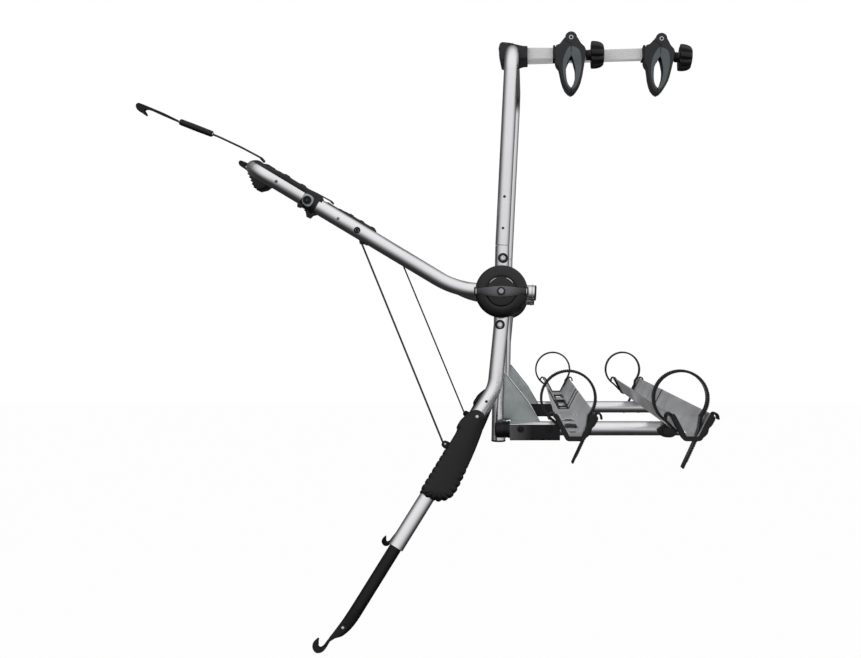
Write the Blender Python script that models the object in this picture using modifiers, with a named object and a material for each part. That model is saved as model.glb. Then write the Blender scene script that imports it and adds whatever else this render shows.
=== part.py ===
"""A folding bike rack that hangs on the back of a hatchback car.

Metres, +Z up. The origin lies on the fold axis of the two hubs, midway between them.
-X points at the car, +X to the rear, and the car's left side is at -Y.
"""

import math

import bmesh
import bpy
from mathutils import Matrix, Vector

SIDES = {"left": -1, "right": 1}
UP = Vector((0, 0, 1))
SIDEWAYS = Vector((0, 1, 0))
FIT_GAP = 0.0003

# Rear frame
POST_RADIUS = 0.015
POST_WALL = 0.002
POST_Y = 0.243
SEAM_Z = 0.101
SEAM_GAP = 0.0013
CROSSBAR_X = 0.0207
CROSSBAR_Z = 0.524
UPRIGHT_BEND = 0.05
POST_FOOT_X = -0.0084
POST_FOOT_Z = -0.3136
SPIGOT_RADIUS = 0.0127
SPIGOT_BORE = 0.0105
SPIGOT_LENGTH = 0.045
UPRIGHT_HOLES_Z = (0.203, 0.136)
PUSH_HOLE_RADIUS = 0.003

# Gusset and its channel
GUSSET_Y = 0.257
GUSSET_THICKNESS = 0.0025
CHANNEL_START_X = 0.0166
CHANNEL_END_X = 0.1215

# Platform bars
BAR_RADIUS = 0.015
BAR_BORE = 0.013
BAR_Y = 0.2745
BAR_Z = -0.2863
BAR_START_X = 0.0169
BAR_END_X = 0.372
BAR_CAP_LENGTH = 0.0316

# Hub, stacked outwards from the post
HUB_PLATE_RADIUS = 0.050
HUB_PLATE_Y = (0.2583, 0.2695)
STUD_RADIUS = 0.006
STUD_HOLE = 0.0063
STUD_END_Y = 0.3462
LUG_RADIUS = 0.026
LUG_Y = (0.2698, 0.2792)
ARM_Y = 0.296
COVER_RADIUS = 0.054
COVER_Y = (0.3135, 0.3335)
WING_LENGTH = 0.098
WING_Y = (0.3338, 0.3458)

# Front frame
ARM_RADIUS = 0.01575
ARM_BORE = 0.01375
ARM_STUB = (0.068, -0.0024)
ARM_BEND = (-0.0946, 0.0046)
ARM_BEND_RADIUS = 0.17
FRONT_BAR_X = -0.503
FRONT_BAR_Z = 0.251
FRONT_CORNER_Y = 0.395
FRONT_CORNER_RADIUS = 0.05
ARM_HOLES = (0.281, 0.421)
PAD_START = 0.317
PAD_RISE = 0.0135
PAD_RADIUS = 0.0125
CLAMP_AT = 0.348
CLAMP_LENGTH = 0.036
CLAMP_RADIUS = 0.0215
FOOT_Y = 0.255
FOOT_WIDTH = 0.045

# Legs
LEG_RADIUS = 0.0155
LEG_BORE = 0.013
LEG_TOP = (0.0011, 0.296, -0.045)
LEG_BEND = (-0.0137, 0.312, -0.1988)
LEG_END = (-0.2061, 0.411, -0.5068)
LEG_BEND_RADIUS = 0.08
LEG_HOLE = 0.0365
INNER_RADIUS = 0.0125
INNER_BORE = 0.0105
INNER_HIDDEN = 0.10
BLADE_END = 0.2085
HOOK_WIDTH = 0.018
SHOE_RIVET = 0.0748
SHOE_WIDTH = 0.043
SHOE_SLOT = 0.016
RIVET_RADIUS = 0.003
EYE_AT = 0.078
EYE_OUT = 0.0245

# Cables
CABLE_RADIUS = 0.002
CABLE_STEP = 0.012
STAY_TOP = (-0.284, 0.341, 0.0968)
HOOK_CABLE_Y = 0.37
HOOK_CABLE_EXIT = (-0.4822, 0.2672)
HOOK_CABLE_TURNS = ((-0.520, 0.2875), (-0.5684, 0.3102))
SLEEVE_START = (-0.5777, 0.3138)
SLEEVE_END = (-0.6468, 0.3405)
SLEEVE_RADIUS = 0.0065
SLEEVE_BORE = 0.0024
UPPER_HOOK_WIDTH = 0.010

# Bike arms, each with its connector's Y, its tilt, and its jaw pin
BIKE_ARMS = {
    "short": {"y": -0.178, "tilt": 0.0, "pin": (0.1487, 0.5569), "turn": 0.0},
    "long": {"y": -0.131, "tilt": 2.2, "pin": (0.3517, 0.5668), "turn": -4.7},
}
CONNECTOR_WIDTH = 0.040
CONNECTOR_BORE = 0.0153
BIKE_BAR_HEIGHT = 0.031
BIKE_BAR_WIDTH = 0.019
BIKE_BAR_WALL = 0.0022
BIKE_BAR_START = 0.0188
JAW_WIDTH = 0.040
KNUCKLE_RADIUS = 0.0145
KNUCKLE_HALF = 0.0095
PIN_RADIUS = 0.0035
JAW_STUD_Z = -0.0336
JAW_STUD_RADIUS = 0.004

# Wheel trays, numbered from the car
TRAY_X = {"1": 0.1386, "2": 0.3466}
TRAY_LENGTH = 0.61
TRAY_FLOOR_Z = -0.2708
TRAY_HEIGHT = 0.043
TRAY_TOP_HALF = 0.0365
TRAY_FLOOR_HALF = 0.013
TRAY_SHEET = 0.002
CAP_LENGTH = 0.025
CAP_SHEET = 0.0028
STRAP_Y = 0.572
STRAP_WIDTH = 0.025
STRAP_THICKNESS = 0.004
STRAP_RADIUS = 0.049
STRAP_CENTRE = (-0.0111, 0.0702)

TUBE_SIDES = 16
SMALL_SIDES = 12
ARC_STEP = math.radians(9)

ORIGIN = Vector((0, 0, 0))


def clear_scene():
    for obj in list(bpy.data.objects):
        bpy.data.objects.remove(obj, do_unlink=True)


def new_collection(name):
    collection = bpy.data.collections.new(name)
    bpy.context.scene.collection.children.link(collection)
    return collection


def new_material(name, colour, roughness, metallic):
    material = bpy.data.materials.new(name)
    material.use_nodes = True
    shader = material.node_tree.nodes["Principled BSDF"]
    shader.inputs["Base Color"].default_value = (*colour, 1)
    shader.inputs["Roughness"].default_value = roughness
    shader.inputs["Metallic"].default_value = metallic
    return material


clear_scene()
PARTS = new_collection("hatchback_bike_rack")
CUTTERS = new_collection("cutters")
CUTTERS.hide_render = True

ALUMINIUM = ((0.62, 0.63, 0.64), 0.35, 0.9)
PALE_ALUMINIUM = ((0.78, 0.79, 0.80), 0.45, 0.6)
GREY_PLATE = ((0.40, 0.44, 0.46), 0.5, 0.5)
BLACK_PLASTIC = ((0.02, 0.02, 0.025), 0.45, 0.0)
DARK_GREY_PLASTIC = ((0.06, 0.07, 0.08), 0.5, 0.0)
BLACK_RUBBER = ((0.015, 0.015, 0.018), 0.8, 0.0)
BLACK_STEEL = ((0.02, 0.02, 0.02), 0.35, 0.3)


def at(side, point):
    """A point given for the right side, with its Y turned to the side asked for."""
    return Vector((point[0], side * point[1], point[2]))


def new_object(name, mesh):
    obj = bpy.data.objects.new(name, mesh)
    CUTTERS.objects.link(obj)
    return obj


def from_bmesh(name, work, matrix=None):
    """A mesh object from a bmesh, placed by a matrix, with welded points and outward faces."""
    if matrix is not None:
        bmesh.ops.transform(work, matrix=matrix, verts=work.verts)
    bmesh.ops.remove_doubles(work, verts=work.verts, dist=0.00001)
    bmesh.ops.recalc_face_normals(work, faces=work.faces)
    mesh = bpy.data.meshes.new(name)
    work.to_mesh(mesh)
    work.free()
    return new_object(name, mesh)


def as_mesh(obj, matrix=None):
    """The evaluated shape of a curve or of an object with modifiers, as a welded mesh object."""
    bpy.context.view_layer.update()
    graph = bpy.context.evaluated_depsgraph_get()
    mesh = bpy.data.meshes.new_from_object(obj.evaluated_get(graph))
    work = bmesh.new()
    work.from_mesh(mesh)
    name = obj.name
    bpy.data.objects.remove(obj)
    bpy.data.meshes.remove(mesh)
    return from_bmesh(name, work, matrix)


def tube(name, points, radius, sides=TUBE_SIDES):
    """A solid round rod along a list of points."""
    curve = bpy.data.curves.new(name, "CURVE")
    curve.dimensions = "3D"
    curve.bevel_depth = radius
    curve.bevel_resolution = (sides - 4) // 2
    curve.use_fill_caps = True
    spline = curve.splines.new("POLY")
    spline.points.add(len(points) - 1)
    for spot, point in zip(spline.points, points):
        spot.co = (*point, 1)
    return as_mesh(new_object(name, curve))


def prism(name, outline, width, matrix):
    """A flat outline in local x and y, with its thickness along local z, centred."""
    curve = bpy.data.curves.new(name, "CURVE")
    curve.dimensions = "2D"
    curve.fill_mode = "BOTH"
    curve.extrude = width / 2
    spline = curve.splines.new("POLY")
    spline.points.add(len(outline) - 1)
    for spot, (x, y) in zip(spline.points, outline):
        spot.co = (x, y, 0, 1)
    spline.use_cyclic_u = True
    return as_mesh(new_object(name, curve), matrix)


def turned(name, profile, matrix, steps=24):
    """A turned solid: (radius, height) pairs from the bottom up, spun round local z."""
    work = bmesh.new()
    spots = [work.verts.new((radius, 0, height)) for radius, height in reversed(profile)]
    for first, second in zip(spots, spots[1:]):
        work.edges.new((first, second))
    mesh = bpy.data.meshes.new(name)
    work.to_mesh(mesh)
    work.free()
    obj = new_object(name, mesh)
    screw = obj.modifiers.new("turn", "SCREW")
    screw.steps = steps
    screw.render_steps = steps
    screw.use_merge_vertices = True
    screw.merge_threshold = 0.00005
    return as_mesh(obj, matrix)


def block(name, low, high, matrix=None):
    """A box between two corners of a local frame."""
    work = bmesh.new()
    bmesh.ops.create_cube(work, size=1)
    size = [b - a for a, b in zip(low, high)]
    middle = [(a + b) / 2 for a, b in zip(low, high)]
    shape = Matrix.Translation(middle) @ Matrix.Diagonal((*size, 1))
    return from_bmesh(name, work, shape if matrix is None else matrix @ shape)


def rod(name, start, end, radius, sides=SMALL_SIDES):
    """A round rod between two points."""
    start = Vector(start)
    way = Vector(end) - start
    work = bmesh.new()
    bmesh.ops.create_cone(
        work, cap_ends=True, segments=sides, radius1=radius, radius2=radius, depth=way.length
    )
    turn = way.to_track_quat("Z", "Y").to_matrix().to_4x4()
    return from_bmesh(name, work, Matrix.Translation(start + way / 2) @ turn)


def loft(name, rings):
    """A closed skin over rings of equally many points, with a flat cap on each end."""
    work = bmesh.new()
    rows = [[work.verts.new(point) for point in ring] for ring in rings]
    for low, high in zip(rows, rows[1:]):
        for i in range(len(low)):
            j = (i + 1) % len(low)
            work.faces.new((low[i], low[j], high[j], high[i]))
    work.faces.new(rows[0])
    work.faces.new(rows[-1])
    return from_bmesh(name, work)


def combine(piece, other, operation):
    """Joins the other shape to the piece, or cuts it out, with a live Boolean."""
    other.hide_render = True
    other.display_type = "WIRE"
    modifier = piece.modifiers.new(other.name, "BOOLEAN")
    modifier.operation = operation
    modifier.solver = "EXACT"
    modifier.object = other
    other.parent = piece


def cut(piece, *others):
    for other in others:
        combine(piece, other, "DIFFERENCE")


def join(piece, *others):
    for other in others:
        combine(piece, other, "UNION")


def rounded_path(corners, radii):
    """The corner points, with each inner corner replaced by an arc of its radius."""
    corners = [Vector(corner) for corner in corners]
    points = [corners[0]]
    for before, corner, after, radius in zip(corners, corners[1:], corners[2:], radii):
        back = (before - corner).normalized()
        ahead = (after - corner).normalized()
        turn = math.pi - back.angle(ahead)
        centre = corner + (back + ahead).normalized() * (radius / math.cos(turn / 2))
        spoke = corner + back * (radius * math.tan(turn / 2)) - centre
        axis = ahead.cross(back).normalized()
        steps = max(2, round(turn / ARC_STEP))
        for i in range(steps + 1):
            points.append(centre + Matrix.Rotation(turn * i / steps, 3, axis) @ spoke)
    points.append(corners[-1])
    return points


def lengthened(points, extra):
    """The path with both of its ends moved outwards."""
    first = points[0] + (points[0] - points[1]).normalized() * extra
    last = points[-1] + (points[-1] - points[-2]).normalized() * extra
    return [first, *points[1:-1], last]


def even_points(points, step):
    """Points at an even spacing near the step along a path."""
    lengths = [(b - a).length for a, b in zip(points, points[1:])]
    count = max(2, round(sum(lengths) / step))
    wanted = [sum(lengths) * i / count for i in range(count + 1)]
    found = []
    for goal in wanted:
        index = 0
        while index < len(lengths) - 1 and goal > lengths[index]:
            goal -= lengths[index]
            index += 1
        found.append(points[index].lerp(points[index + 1], min(1, goal / lengths[index])))
    return found


def beside(points, distance):
    """Flat points moved to the left of their path by a distance."""
    spots = [Vector(point) for point in points]
    moved = []
    for i, spot in enumerate(spots):
        before = spots[max(i - 1, 0)]
        after = spots[min(i + 1, len(spots) - 1)]
        into = (spot - before).normalized() if i else (after - spot).normalized()
        out = (after - spot).normalized() if after != spot else into
        normal = Vector((-into.y - out.y, into.x + out.x)).normalized()
        stretch = max(0.5, normal.dot(Vector((-into.y, into.x))))
        moved.append(tuple(spot + normal * (distance / stretch)))
    return moved


def ribbon(points, thickness, shift=0.0):
    """The outline of a sheet that follows flat points, moved to their left by the shift."""
    ahead = beside(points, shift + thickness / 2)
    back = beside(points, shift - thickness / 2)
    return ahead + list(reversed(back))


def hollow_tube(name, points, radius, bore, sides=TUBE_SIDES):
    """A tube open at both ends."""
    piece = tube(name, points, radius, sides)
    cut(piece, tube(name + "_bore", lengthened(points, 0.005), bore, sides))
    return piece


def frame(origin, along, across):
    """A local frame: x along, y across, and z square to both."""
    third = along.cross(across)
    turn = Matrix((along, across, third)).transposed()
    return Matrix.Translation(origin) @ turn.to_4x4()


def side_view(x, y, z, degrees=0.0):
    """A local frame whose x and y lie along X and Z, turned anticlockwise as seen from -Y."""
    face = Matrix.Rotation(math.radians(90), 4, "X")
    turn = Matrix.Rotation(math.radians(degrees), 4, "Z")
    return Matrix.Translation((x, y, z)) @ face @ turn


def outward(side, start=0.0):
    """A local frame on the hub axis whose z points outwards on that side."""
    return Matrix.Translation((0, side * start, 0)) @ Matrix.Rotation(-side * math.pi / 2, 4, "X")


def finish(piece, name, body, look):
    """Names a piece, gives it its material, and hangs it on its joint's empty."""
    pivot = BODIES[body]
    piece.data.transform(Matrix.Translation(-pivot))
    for child in [obj for obj in bpy.data.objects if obj.parent == piece]:
        child.matrix_parent_inverse = Matrix.Translation(-pivot)
    piece.name = name
    piece.data.name = name
    piece.location = pivot
    piece.parent = AXES[body]
    piece.matrix_parent_inverse = Matrix.Translation(-pivot)
    piece.data.materials.append(new_material(name, *look))
    piece.data.shade_smooth()
    piece.data.set_sharp_from_angle(angle=math.radians(35))
    CUTTERS.objects.unlink(piece)
    PARTS.objects.link(piece)
    return piece


# Joint axes. Each moving body has an empty on its joint's axis.

ARM_START = Vector((ARM_BEND[0], ARM_Y, ARM_BEND[1]))
ARM_CORNER = Vector((FRONT_BAR_X, FRONT_CORNER_Y, FRONT_BAR_Z))


def arm_frame(side, distance=0.0):
    """x up the straight part of the arm, y square to it and upwards."""
    along = (at(side, ARM_CORNER) - at(side, ARM_START)).normalized()
    across = SIDEWAYS.cross(along).normalized()
    return frame(at(side, ARM_START) + along * distance, along, across)


def leg_frame(side, distance=0.0):
    """x down the straight part of the leg, y square to it, away from the car."""
    along = (at(side, LEG_END) - at(side, LEG_BEND)).normalized()
    across = along.cross(SIDEWAYS).normalized()
    return frame(at(side, LEG_BEND) + along * distance, along, across)


LEG_LENGTH = (Vector(LEG_END) - Vector(LEG_BEND)).length
TREE = {"root": (None, ORIGIN), "front_frame": ("root", ORIGIN)}
for label, side in SIDES.items():
    TREE["wing_knob_" + label] = ("root", Vector((0, side * WING_Y[0], 0)))
    TREE["leg_" + label] = ("front_frame", Vector((0, side * ARM_Y, 0)))
    TREE["leg_inner_" + label] = ("leg_" + label, at(side, LEG_END))
    TREE["lower_pad_" + label] = ("leg_" + label, leg_frame(side, SHOE_RIVET).translation)
    exit_point = Vector((HOOK_CABLE_EXIT[0], side * HOOK_CABLE_Y, HOOK_CABLE_EXIT[1]))
    TREE["upper_hook_" + label] = ("front_frame", exit_point)
for label, arm in BIKE_ARMS.items():
    pin = Vector((arm["pin"][0], arm["y"], arm["pin"][1]))
    turn = Matrix.Rotation(-math.radians(arm["turn"]), 4, "Y")
    TREE["bike_arm_" + label] = ("root", Vector((CROSSBAR_X, arm["y"], CROSSBAR_Z)))
    TREE["moving_jaw_" + label] = ("bike_arm_" + label, pin)
    stud = pin + turn @ Vector((0, 0, JAW_STUD_Z))
    TREE["clamp_knob_" + label] = ("moving_jaw_" + label, stud)
for label, x in TRAY_X.items():
    TREE["wheel_tray_" + label] = ("root", Vector((x, 0, TRAY_FLOOR_Z)))
BODIES = {body: pivot for body, (parent, pivot) in TREE.items()}
AXES = {}
for body, (parent, pivot) in TREE.items():
    axis = bpy.data.objects.new(body + "_axis", None)
    axis.empty_display_size = 0.03
    PARTS.objects.link(axis)
    axis.location = pivot
    if parent:
        axis.parent = AXES[parent]
        axis.matrix_parent_inverse = Matrix.Translation(-BODIES[parent])
    AXES[body] = axis


# Rear frame


def post_point(z):
    """The lower post's axis, which leans back a little, at a height."""
    share = (SEAM_Z - z) / (SEAM_Z - POST_FOOT_Z)
    return Vector((POST_FOOT_X * share, POST_Y, z))


def make_upright_frame():
    corners = [
        (0, -POST_Y, SEAM_Z),
        (CROSSBAR_X, -POST_Y, CROSSBAR_Z),
        (CROSSBAR_X, POST_Y, CROSSBAR_Z),
        (0, POST_Y, SEAM_Z),
    ]
    path = rounded_path(corners, (UPRIGHT_BEND, UPRIGHT_BEND))
    piece = tube("upright", path, POST_RADIUS)
    bores = []
    solid_part = 0.024
    lift = (path[1] - path[0]).normalized() * solid_part
    inner = [path[0] + lift, *path[1:-1], path[-1] + Vector((lift.x, 0, lift.z))]
    bores.append(tube("upright_bore", inner, POST_RADIUS - POST_WALL))
    for side in SIDES.values():
        low = at(side, post_point(SEAM_Z - SPIGOT_LENGTH))
        high = at(side, post_point(SEAM_Z + 0.02))
        join(piece, rod("spigot", low, high, SPIGOT_RADIUS, TUBE_SIDES))
        reach = (low - high).normalized() * 0.01
        bores.append(rod("spigot_bore", low + reach, high - reach * 1.5, SPIGOT_BORE))
    cut(piece, *bores)
    for side in SIDES.values():
        for z in UPRIGHT_HOLES_Z:
            x = CROSSBAR_X * (z - SEAM_Z) / (CROSSBAR_Z - SEAM_Z)
            start = (x, side * POST_Y, z)
            end = (x, side * (POST_Y + 0.03), z)
            cut(piece, rod("push_hole", start, end, PUSH_HOLE_RADIUS, 8))
    finish(piece, "upright_frame", "root", ALUMINIUM)


def make_lower_post(label, side):
    path = [at(side, post_point(SEAM_Z - SEAM_GAP)), at(side, post_point(POST_FOOT_Z))]
    piece = hollow_tube("post", path, POST_RADIUS, POST_RADIUS - POST_WALL)
    finish(piece, "lower_post_" + label, "root", ALUMINIUM)


def make_gusset(label, side):
    """A fan plate welded beside the post, with a J channel under the platform bar."""
    fan = [
        (0.0035, -0.1700),
        (0.0121, -0.1754),
        (0.0327, -0.2012),
        (0.0551, -0.2292),
        (0.0734, -0.2604),
        (0.0852, -0.2812),
        (0.0900, -0.3000),
        (0.0176, -0.3000),
        (0.0176, -0.2700),
        (0.0022, -0.2700),
    ]
    piece = prism("fan", fan, GUSSET_THICKNESS, side_view(0, side * GUSSET_Y, 0))
    inner = (0.2555, 0.2585)
    outer = (0.2903, 0.2933)
    floor = (-0.3102, -0.3070)
    lip = -0.281
    channel = [
        (inner[0], lip),
        (inner[0], floor[0]),
        (outer[1], floor[0]),
        (outer[1], lip),
        (outer[0], lip),
        (outer[0], floor[1]),
        (inner[1], floor[1]),
        (inner[1], lip),
    ]
    middle = Vector(((CHANNEL_START_X + CHANNEL_END_X) / 2, 0, 0))
    place = frame(middle, Vector((0, side, 0)), UP)
    join(piece, prism("channel", channel, CHANNEL_END_X - CHANNEL_START_X, place))
    finish(piece, "gusset_" + label, "root", GREY_PLATE)


def make_platform_bar(label, side):
    path = [Vector((x, side * BAR_Y, BAR_Z)) for x in (BAR_START_X, BAR_END_X)]
    piece = hollow_tube("bar", path, BAR_RADIUS, BAR_BORE)
    finish(piece, "platform_bar_" + label, "root", ALUMINIUM)


def make_bar_cap(label, side):
    rim = 0.0004
    plug = BAR_BORE - 0.0006
    profile = [
        (0, -BAR_CAP_LENGTH),
        (BAR_RADIUS - 0.0015, -BAR_CAP_LENGTH),
        (BAR_RADIUS + rim, -BAR_CAP_LENGTH + 0.002),
        (BAR_RADIUS + rim, -FIT_GAP),
        (plug, -FIT_GAP),
        (plug, 0.014),
        (0, 0.014),
    ]
    place = Matrix.Translation((BAR_START_X, side * BAR_Y, BAR_Z))
    piece = turned("cap", profile, place @ Matrix.Rotation(math.pi / 2, 4, "Y"))
    finish(piece, "bar_cap_" + label, "root", BLACK_PLASTIC)


# Hubs


def make_hub_plate(label, side):
    low, high = HUB_PLATE_Y
    profile = [
        (0, low),
        (HUB_PLATE_RADIUS - 0.002, low),
        (HUB_PLATE_RADIUS, low + 0.002),
        (HUB_PLATE_RADIUS, high),
        (STUD_RADIUS, high),
        (STUD_RADIUS, STUD_END_Y),
        (0, STUD_END_Y),
    ]
    piece = turned("plate", profile, outward(side))
    finish(piece, "hub_plate_" + label, "root", BLACK_PLASTIC)


def make_hub_cover(label, side):
    low, high = COVER_Y
    profile = [
        (0, low),
        (COVER_RADIUS - 0.001, low),
        (COVER_RADIUS, low + 0.002),
        (COVER_RADIUS, low + 0.008),
        (COVER_RADIUS - 0.002, low + 0.013),
        (COVER_RADIUS - 0.008, low + 0.018),
        (COVER_RADIUS - 0.018, high - 0.0008),
        (COVER_RADIUS - 0.030, high),
        (0, high),
    ]
    piece = turned("cover", profile, outward(side), steps=32)
    cut(piece, rod("hole", (0, side * 0.30, 0), (0, side * 0.34, 0), STUD_HOLE))
    finish(piece, "hub_cover_" + label, "root", BLACK_PLASTIC)


def make_wing_knob(label, side):
    """A flat grip, widest round its bolt."""
    half = WING_LENGTH / 2
    outline = [
        (-half, -0.0055),
        (-0.025, -0.0085),
        (0, -0.0100),
        (0.025, -0.0085),
        (half, -0.0055),
        (half, 0.0055),
        (0.025, 0.0090),
        (0, 0.0110),
        (-0.025, 0.0090),
        (-half, 0.0055),
    ]
    low, high = WING_Y
    place = side_view(0, side * (low + high) / 2, 0)
    piece = prism("wing", outline, high - low, place)
    cut(piece, rod("hole", (0, side * 0.33, 0), (0, side * 0.36, 0), STUD_HOLE))
    finish(piece, "wing_knob_" + label, "wing_knob_" + label, DARK_GREY_PLASTIC)


# Front frame


def arm_path(side):
    """One arm's axis from the stub end to the middle of the crossbar."""
    corners = [
        (ARM_STUB[0], side * ARM_Y, ARM_STUB[1]),
        at(side, ARM_START),
        at(side, ARM_CORNER),
        (FRONT_BAR_X, 0, FRONT_BAR_Z),
    ]
    return rounded_path(corners, (ARM_BEND_RADIUS, FRONT_CORNER_RADIUS))


def make_front_frame():
    left = arm_path(-1)
    right = arm_path(1)
    path = left[:-1] + list(reversed(right[:-1]))
    piece = hollow_tube("front", path, ARM_RADIUS, ARM_BORE)
    for side in SIDES.values():
        axis_hole = rod("stud_hole", (0, side * 0.27, 0), (0, side * 0.32, 0), STUD_HOLE)
        cut(piece, axis_hole)
        for distance in ARM_HOLES:
            place = arm_frame(side, distance)
            out = place @ Vector((0, 0, side * 0.02))
            cut(piece, rod("push_hole", place.translation, out, PUSH_HOLE_RADIUS, 8))
    finish(piece, "front_frame", "front_frame", ALUMINIUM)


def raised_corner_path(side, rise):
    """The arm's axis from the pad's lower end round part of the corner, raised off the tube."""
    corners = [
        arm_frame(side, PAD_START).translation,
        at(side, ARM_CORNER),
        Vector((FRONT_BAR_X, side * (FRONT_CORNER_Y - 0.06), FRONT_BAR_Z)),
    ]
    lift = arm_frame(side).to_3x3() @ Vector((0, rise, 0))
    return [point + lift for point in rounded_path(corners, (FRONT_CORNER_RADIUS,))]


def make_arm_pad(label, side):
    """A rubber strip lying on top of the arm and round part of its corner."""
    turn_share = 5
    path = raised_corner_path(side, PAD_RISE)[: 2 + turn_share]
    piece = tube("strip", path, PAD_RADIUS, SMALL_SIDES)
    whole = raised_corner_path(side, 0)
    cut(piece, tube("arm_room", lengthened(whole, 0.02), ARM_RADIUS + 2 * FIT_GAP))
    finish(piece, "arm_pad_" + label, "front_frame", BLACK_RUBBER)


def make_arm_clamp(label, side):
    """A clamp that holds the arm from below, with its ends against the rubber strip."""
    start = arm_frame(side, CLAMP_AT - CLAMP_LENGTH / 2).translation
    end = arm_frame(side, CLAMP_AT + CLAMP_LENGTH / 2).translation
    reach = (end - start).normalized() * 0.01
    piece = rod("ring", start, end, CLAMP_RADIUS, TUBE_SIDES)
    middle = arm_frame(side, CLAMP_AT)
    low = (-0.016, -0.030, -0.007)
    high = (-0.004, -0.012, 0.007)
    join(piece, block("tab", low, high, middle))
    room = ARM_RADIUS + 2 * FIT_GAP
    cut(piece, rod("arm_room", start - reach, end + reach, room, TUBE_SIDES))
    lift = middle.to_3x3() @ Vector((0, PAD_RISE, 0))
    room = PAD_RADIUS + 2 * FIT_GAP
    cut(piece, rod("strip_room", start - reach + lift, end + reach + lift, room, TUBE_SIDES))
    finish(piece, "arm_clamp_" + label, "front_frame", BLACK_PLASTIC)


def make_end_foot(label, side):
    """A rubber block round the crossbar, whose stepped face rests against the car."""
    outline = [
        (-0.0460, 0.0266),
        (-0.0390, 0.0086),
        (-0.0326, -0.0029),
        (-0.0262, -0.0196),
        (-0.0230, -0.0300),
        (-0.0110, -0.0377),
        (0.0050, -0.0310),
        (0.0155, -0.0155),
        (0.0220, 0.0000),
        (0.0155, 0.0155),
        (0.0000, 0.0220),
        (-0.0200, 0.0260),
        (-0.0400, 0.0290),
    ]
    place = side_view(FRONT_BAR_X, side * FOOT_Y, FRONT_BAR_Z)
    piece = prism("foot", outline, FOOT_WIDTH, place)
    start = (FRONT_BAR_X, side * (FOOT_Y - FOOT_WIDTH), FRONT_BAR_Z)
    end = (FRONT_BAR_X, side * (FOOT_Y + FOOT_WIDTH), FRONT_BAR_Z)
    cut(piece, rod("bar_room", start, end, ARM_RADIUS + 2 * FIT_GAP, TUBE_SIDES))
    finish(piece, "end_foot_" + label, "front_frame", BLACK_RUBBER)


# Legs


def make_leg_outer(label, side):
    """The bent outer leg with the lug that turns on the hub stud, its rivet and cable eye."""
    path = rounded_path([at(side, LEG_TOP), at(side, LEG_BEND), at(side, LEG_END)], (LEG_BEND_RADIUS,))
    piece = tube("leg", path, LEG_RADIUS)
    low, high = LUG_Y
    ring = rod("lug", (0, side * low, 0), (0, side * high, 0), LUG_RADIUS, 24)
    strap_low = (-0.013, min(side * low, side * high) + 0.0002, -0.080)
    strap_high = (0.011, max(side * low, side * high) - 0.0002, -0.006)
    bridge_low = (-0.011, min(side * 0.2704, side * 0.290), -0.078)
    bridge_high = (0.009, max(side * 0.2704, side * 0.290), -0.0535)
    join(piece, block("bridge", bridge_low, bridge_high))
    join(piece, block("strap", strap_low, strap_high), ring)
    place = leg_frame(side, SHOE_RIVET + EYE_AT)
    join(piece, block("eye", (-0.006, -0.0265, -0.003), (0.006, -0.013, 0.003), place))
    cut(piece, tube("leg_bore", lengthened(path, 0.005), LEG_BORE))
    cut(piece, rod("stud_hole", (0, side * 0.26, 0), (0, side * 0.29, 0), STUD_HOLE))
    place = leg_frame(side, LEG_HOLE)
    out = place @ Vector((0, 0, -side * 0.02))
    cut(piece, rod("push_hole", place.translation, out, PUSH_HOLE_RADIUS, 8))
    place = leg_frame(side, SHOE_RIVET)
    half = SHOE_WIDTH / 2 + 0.001
    ends = [place @ Vector((0, 0, way * half)) for way in (-1, 1)]
    join(piece, rod("rivet", ends[0], ends[1], RIVET_RADIUS))
    finish(piece, "leg_outer_" + label, "leg_" + label, ALUMINIUM)


def make_leg_inner(label, side):
    """The inner tube, pressed flat and tapered towards the hook."""
    place = leg_frame(side, LEG_LENGTH)
    radius = INNER_RADIUS
    # distance along, lowest and highest across, half thickness
    sections = [
        (-INNER_HIDDEN, -radius, radius, radius),
        (0.130, -radius, radius, radius),
        (0.150, -0.0126, 0.0124, 0.0100),
        (0.170, -0.0135, 0.0105, 0.0065),
        (0.190, -0.0152, 0.0040, 0.0048),
        (BLADE_END, -0.0172, -0.0110, 0.0040),
    ]
    rings = []
    for along, low, high, thick in sections:
        middle = (low + high) / 2
        half = (high - low) / 2
        ring = []
        for i in range(TUBE_SIDES):
            angle = 2 * math.pi * i / TUBE_SIDES
            spot = Vector((along, middle + half * math.cos(angle), thick * math.sin(angle)))
            ring.append(place @ spot)
        rings.append(ring)
    piece = loft("inner", rings)
    start = place @ Vector((-INNER_HIDDEN - 0.005, 0, 0))
    cut(piece, rod("inner_bore", start, place @ Vector((0.12, 0, 0)), INNER_BORE, TUBE_SIDES))
    finish(piece, "leg_inner_" + label, "leg_inner_" + label, BLACK_STEEL)


def make_lower_hook(label, side):
    """The bottom hook, with a tongue riveted to the outer face of the flattened leg."""
    outline = [
        (0.2100, -0.0177),
        (0.2100, -0.0120),
        (0.2177, -0.0128),
        (0.2255, -0.0132),
        (0.2332, -0.0142),
        (0.2404, -0.0190),
        (0.2416, -0.0273),
        (0.2374, -0.0334),
        (0.2273, -0.0359),
        (0.2165, -0.0336),
        (0.2225, -0.0303),
        (0.2257, -0.0244),
        (0.2231, -0.0204),
        (0.2167, -0.0196),
    ]
    place = leg_frame(side, LEG_LENGTH)
    piece = prism("hook", outline, HOOK_WIDTH, place)
    tongue = [
        (0.174, -0.0100),
        (0.174, 0.0020),
        (0.190, 0.0000),
        (0.215, -0.0125),
        (0.224, -0.0135),
        (0.222, -0.0175),
        (0.212, -0.0172),
        (0.190, -0.0140),
    ]
    outer = -side * 0.0085
    join(piece, prism("tongue", tongue, 0.0028, place @ Matrix.Translation((0, 0, outer))))
    finish(piece, "lower_hook_" + label, "leg_inner_" + label, BLACK_STEEL)


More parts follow.
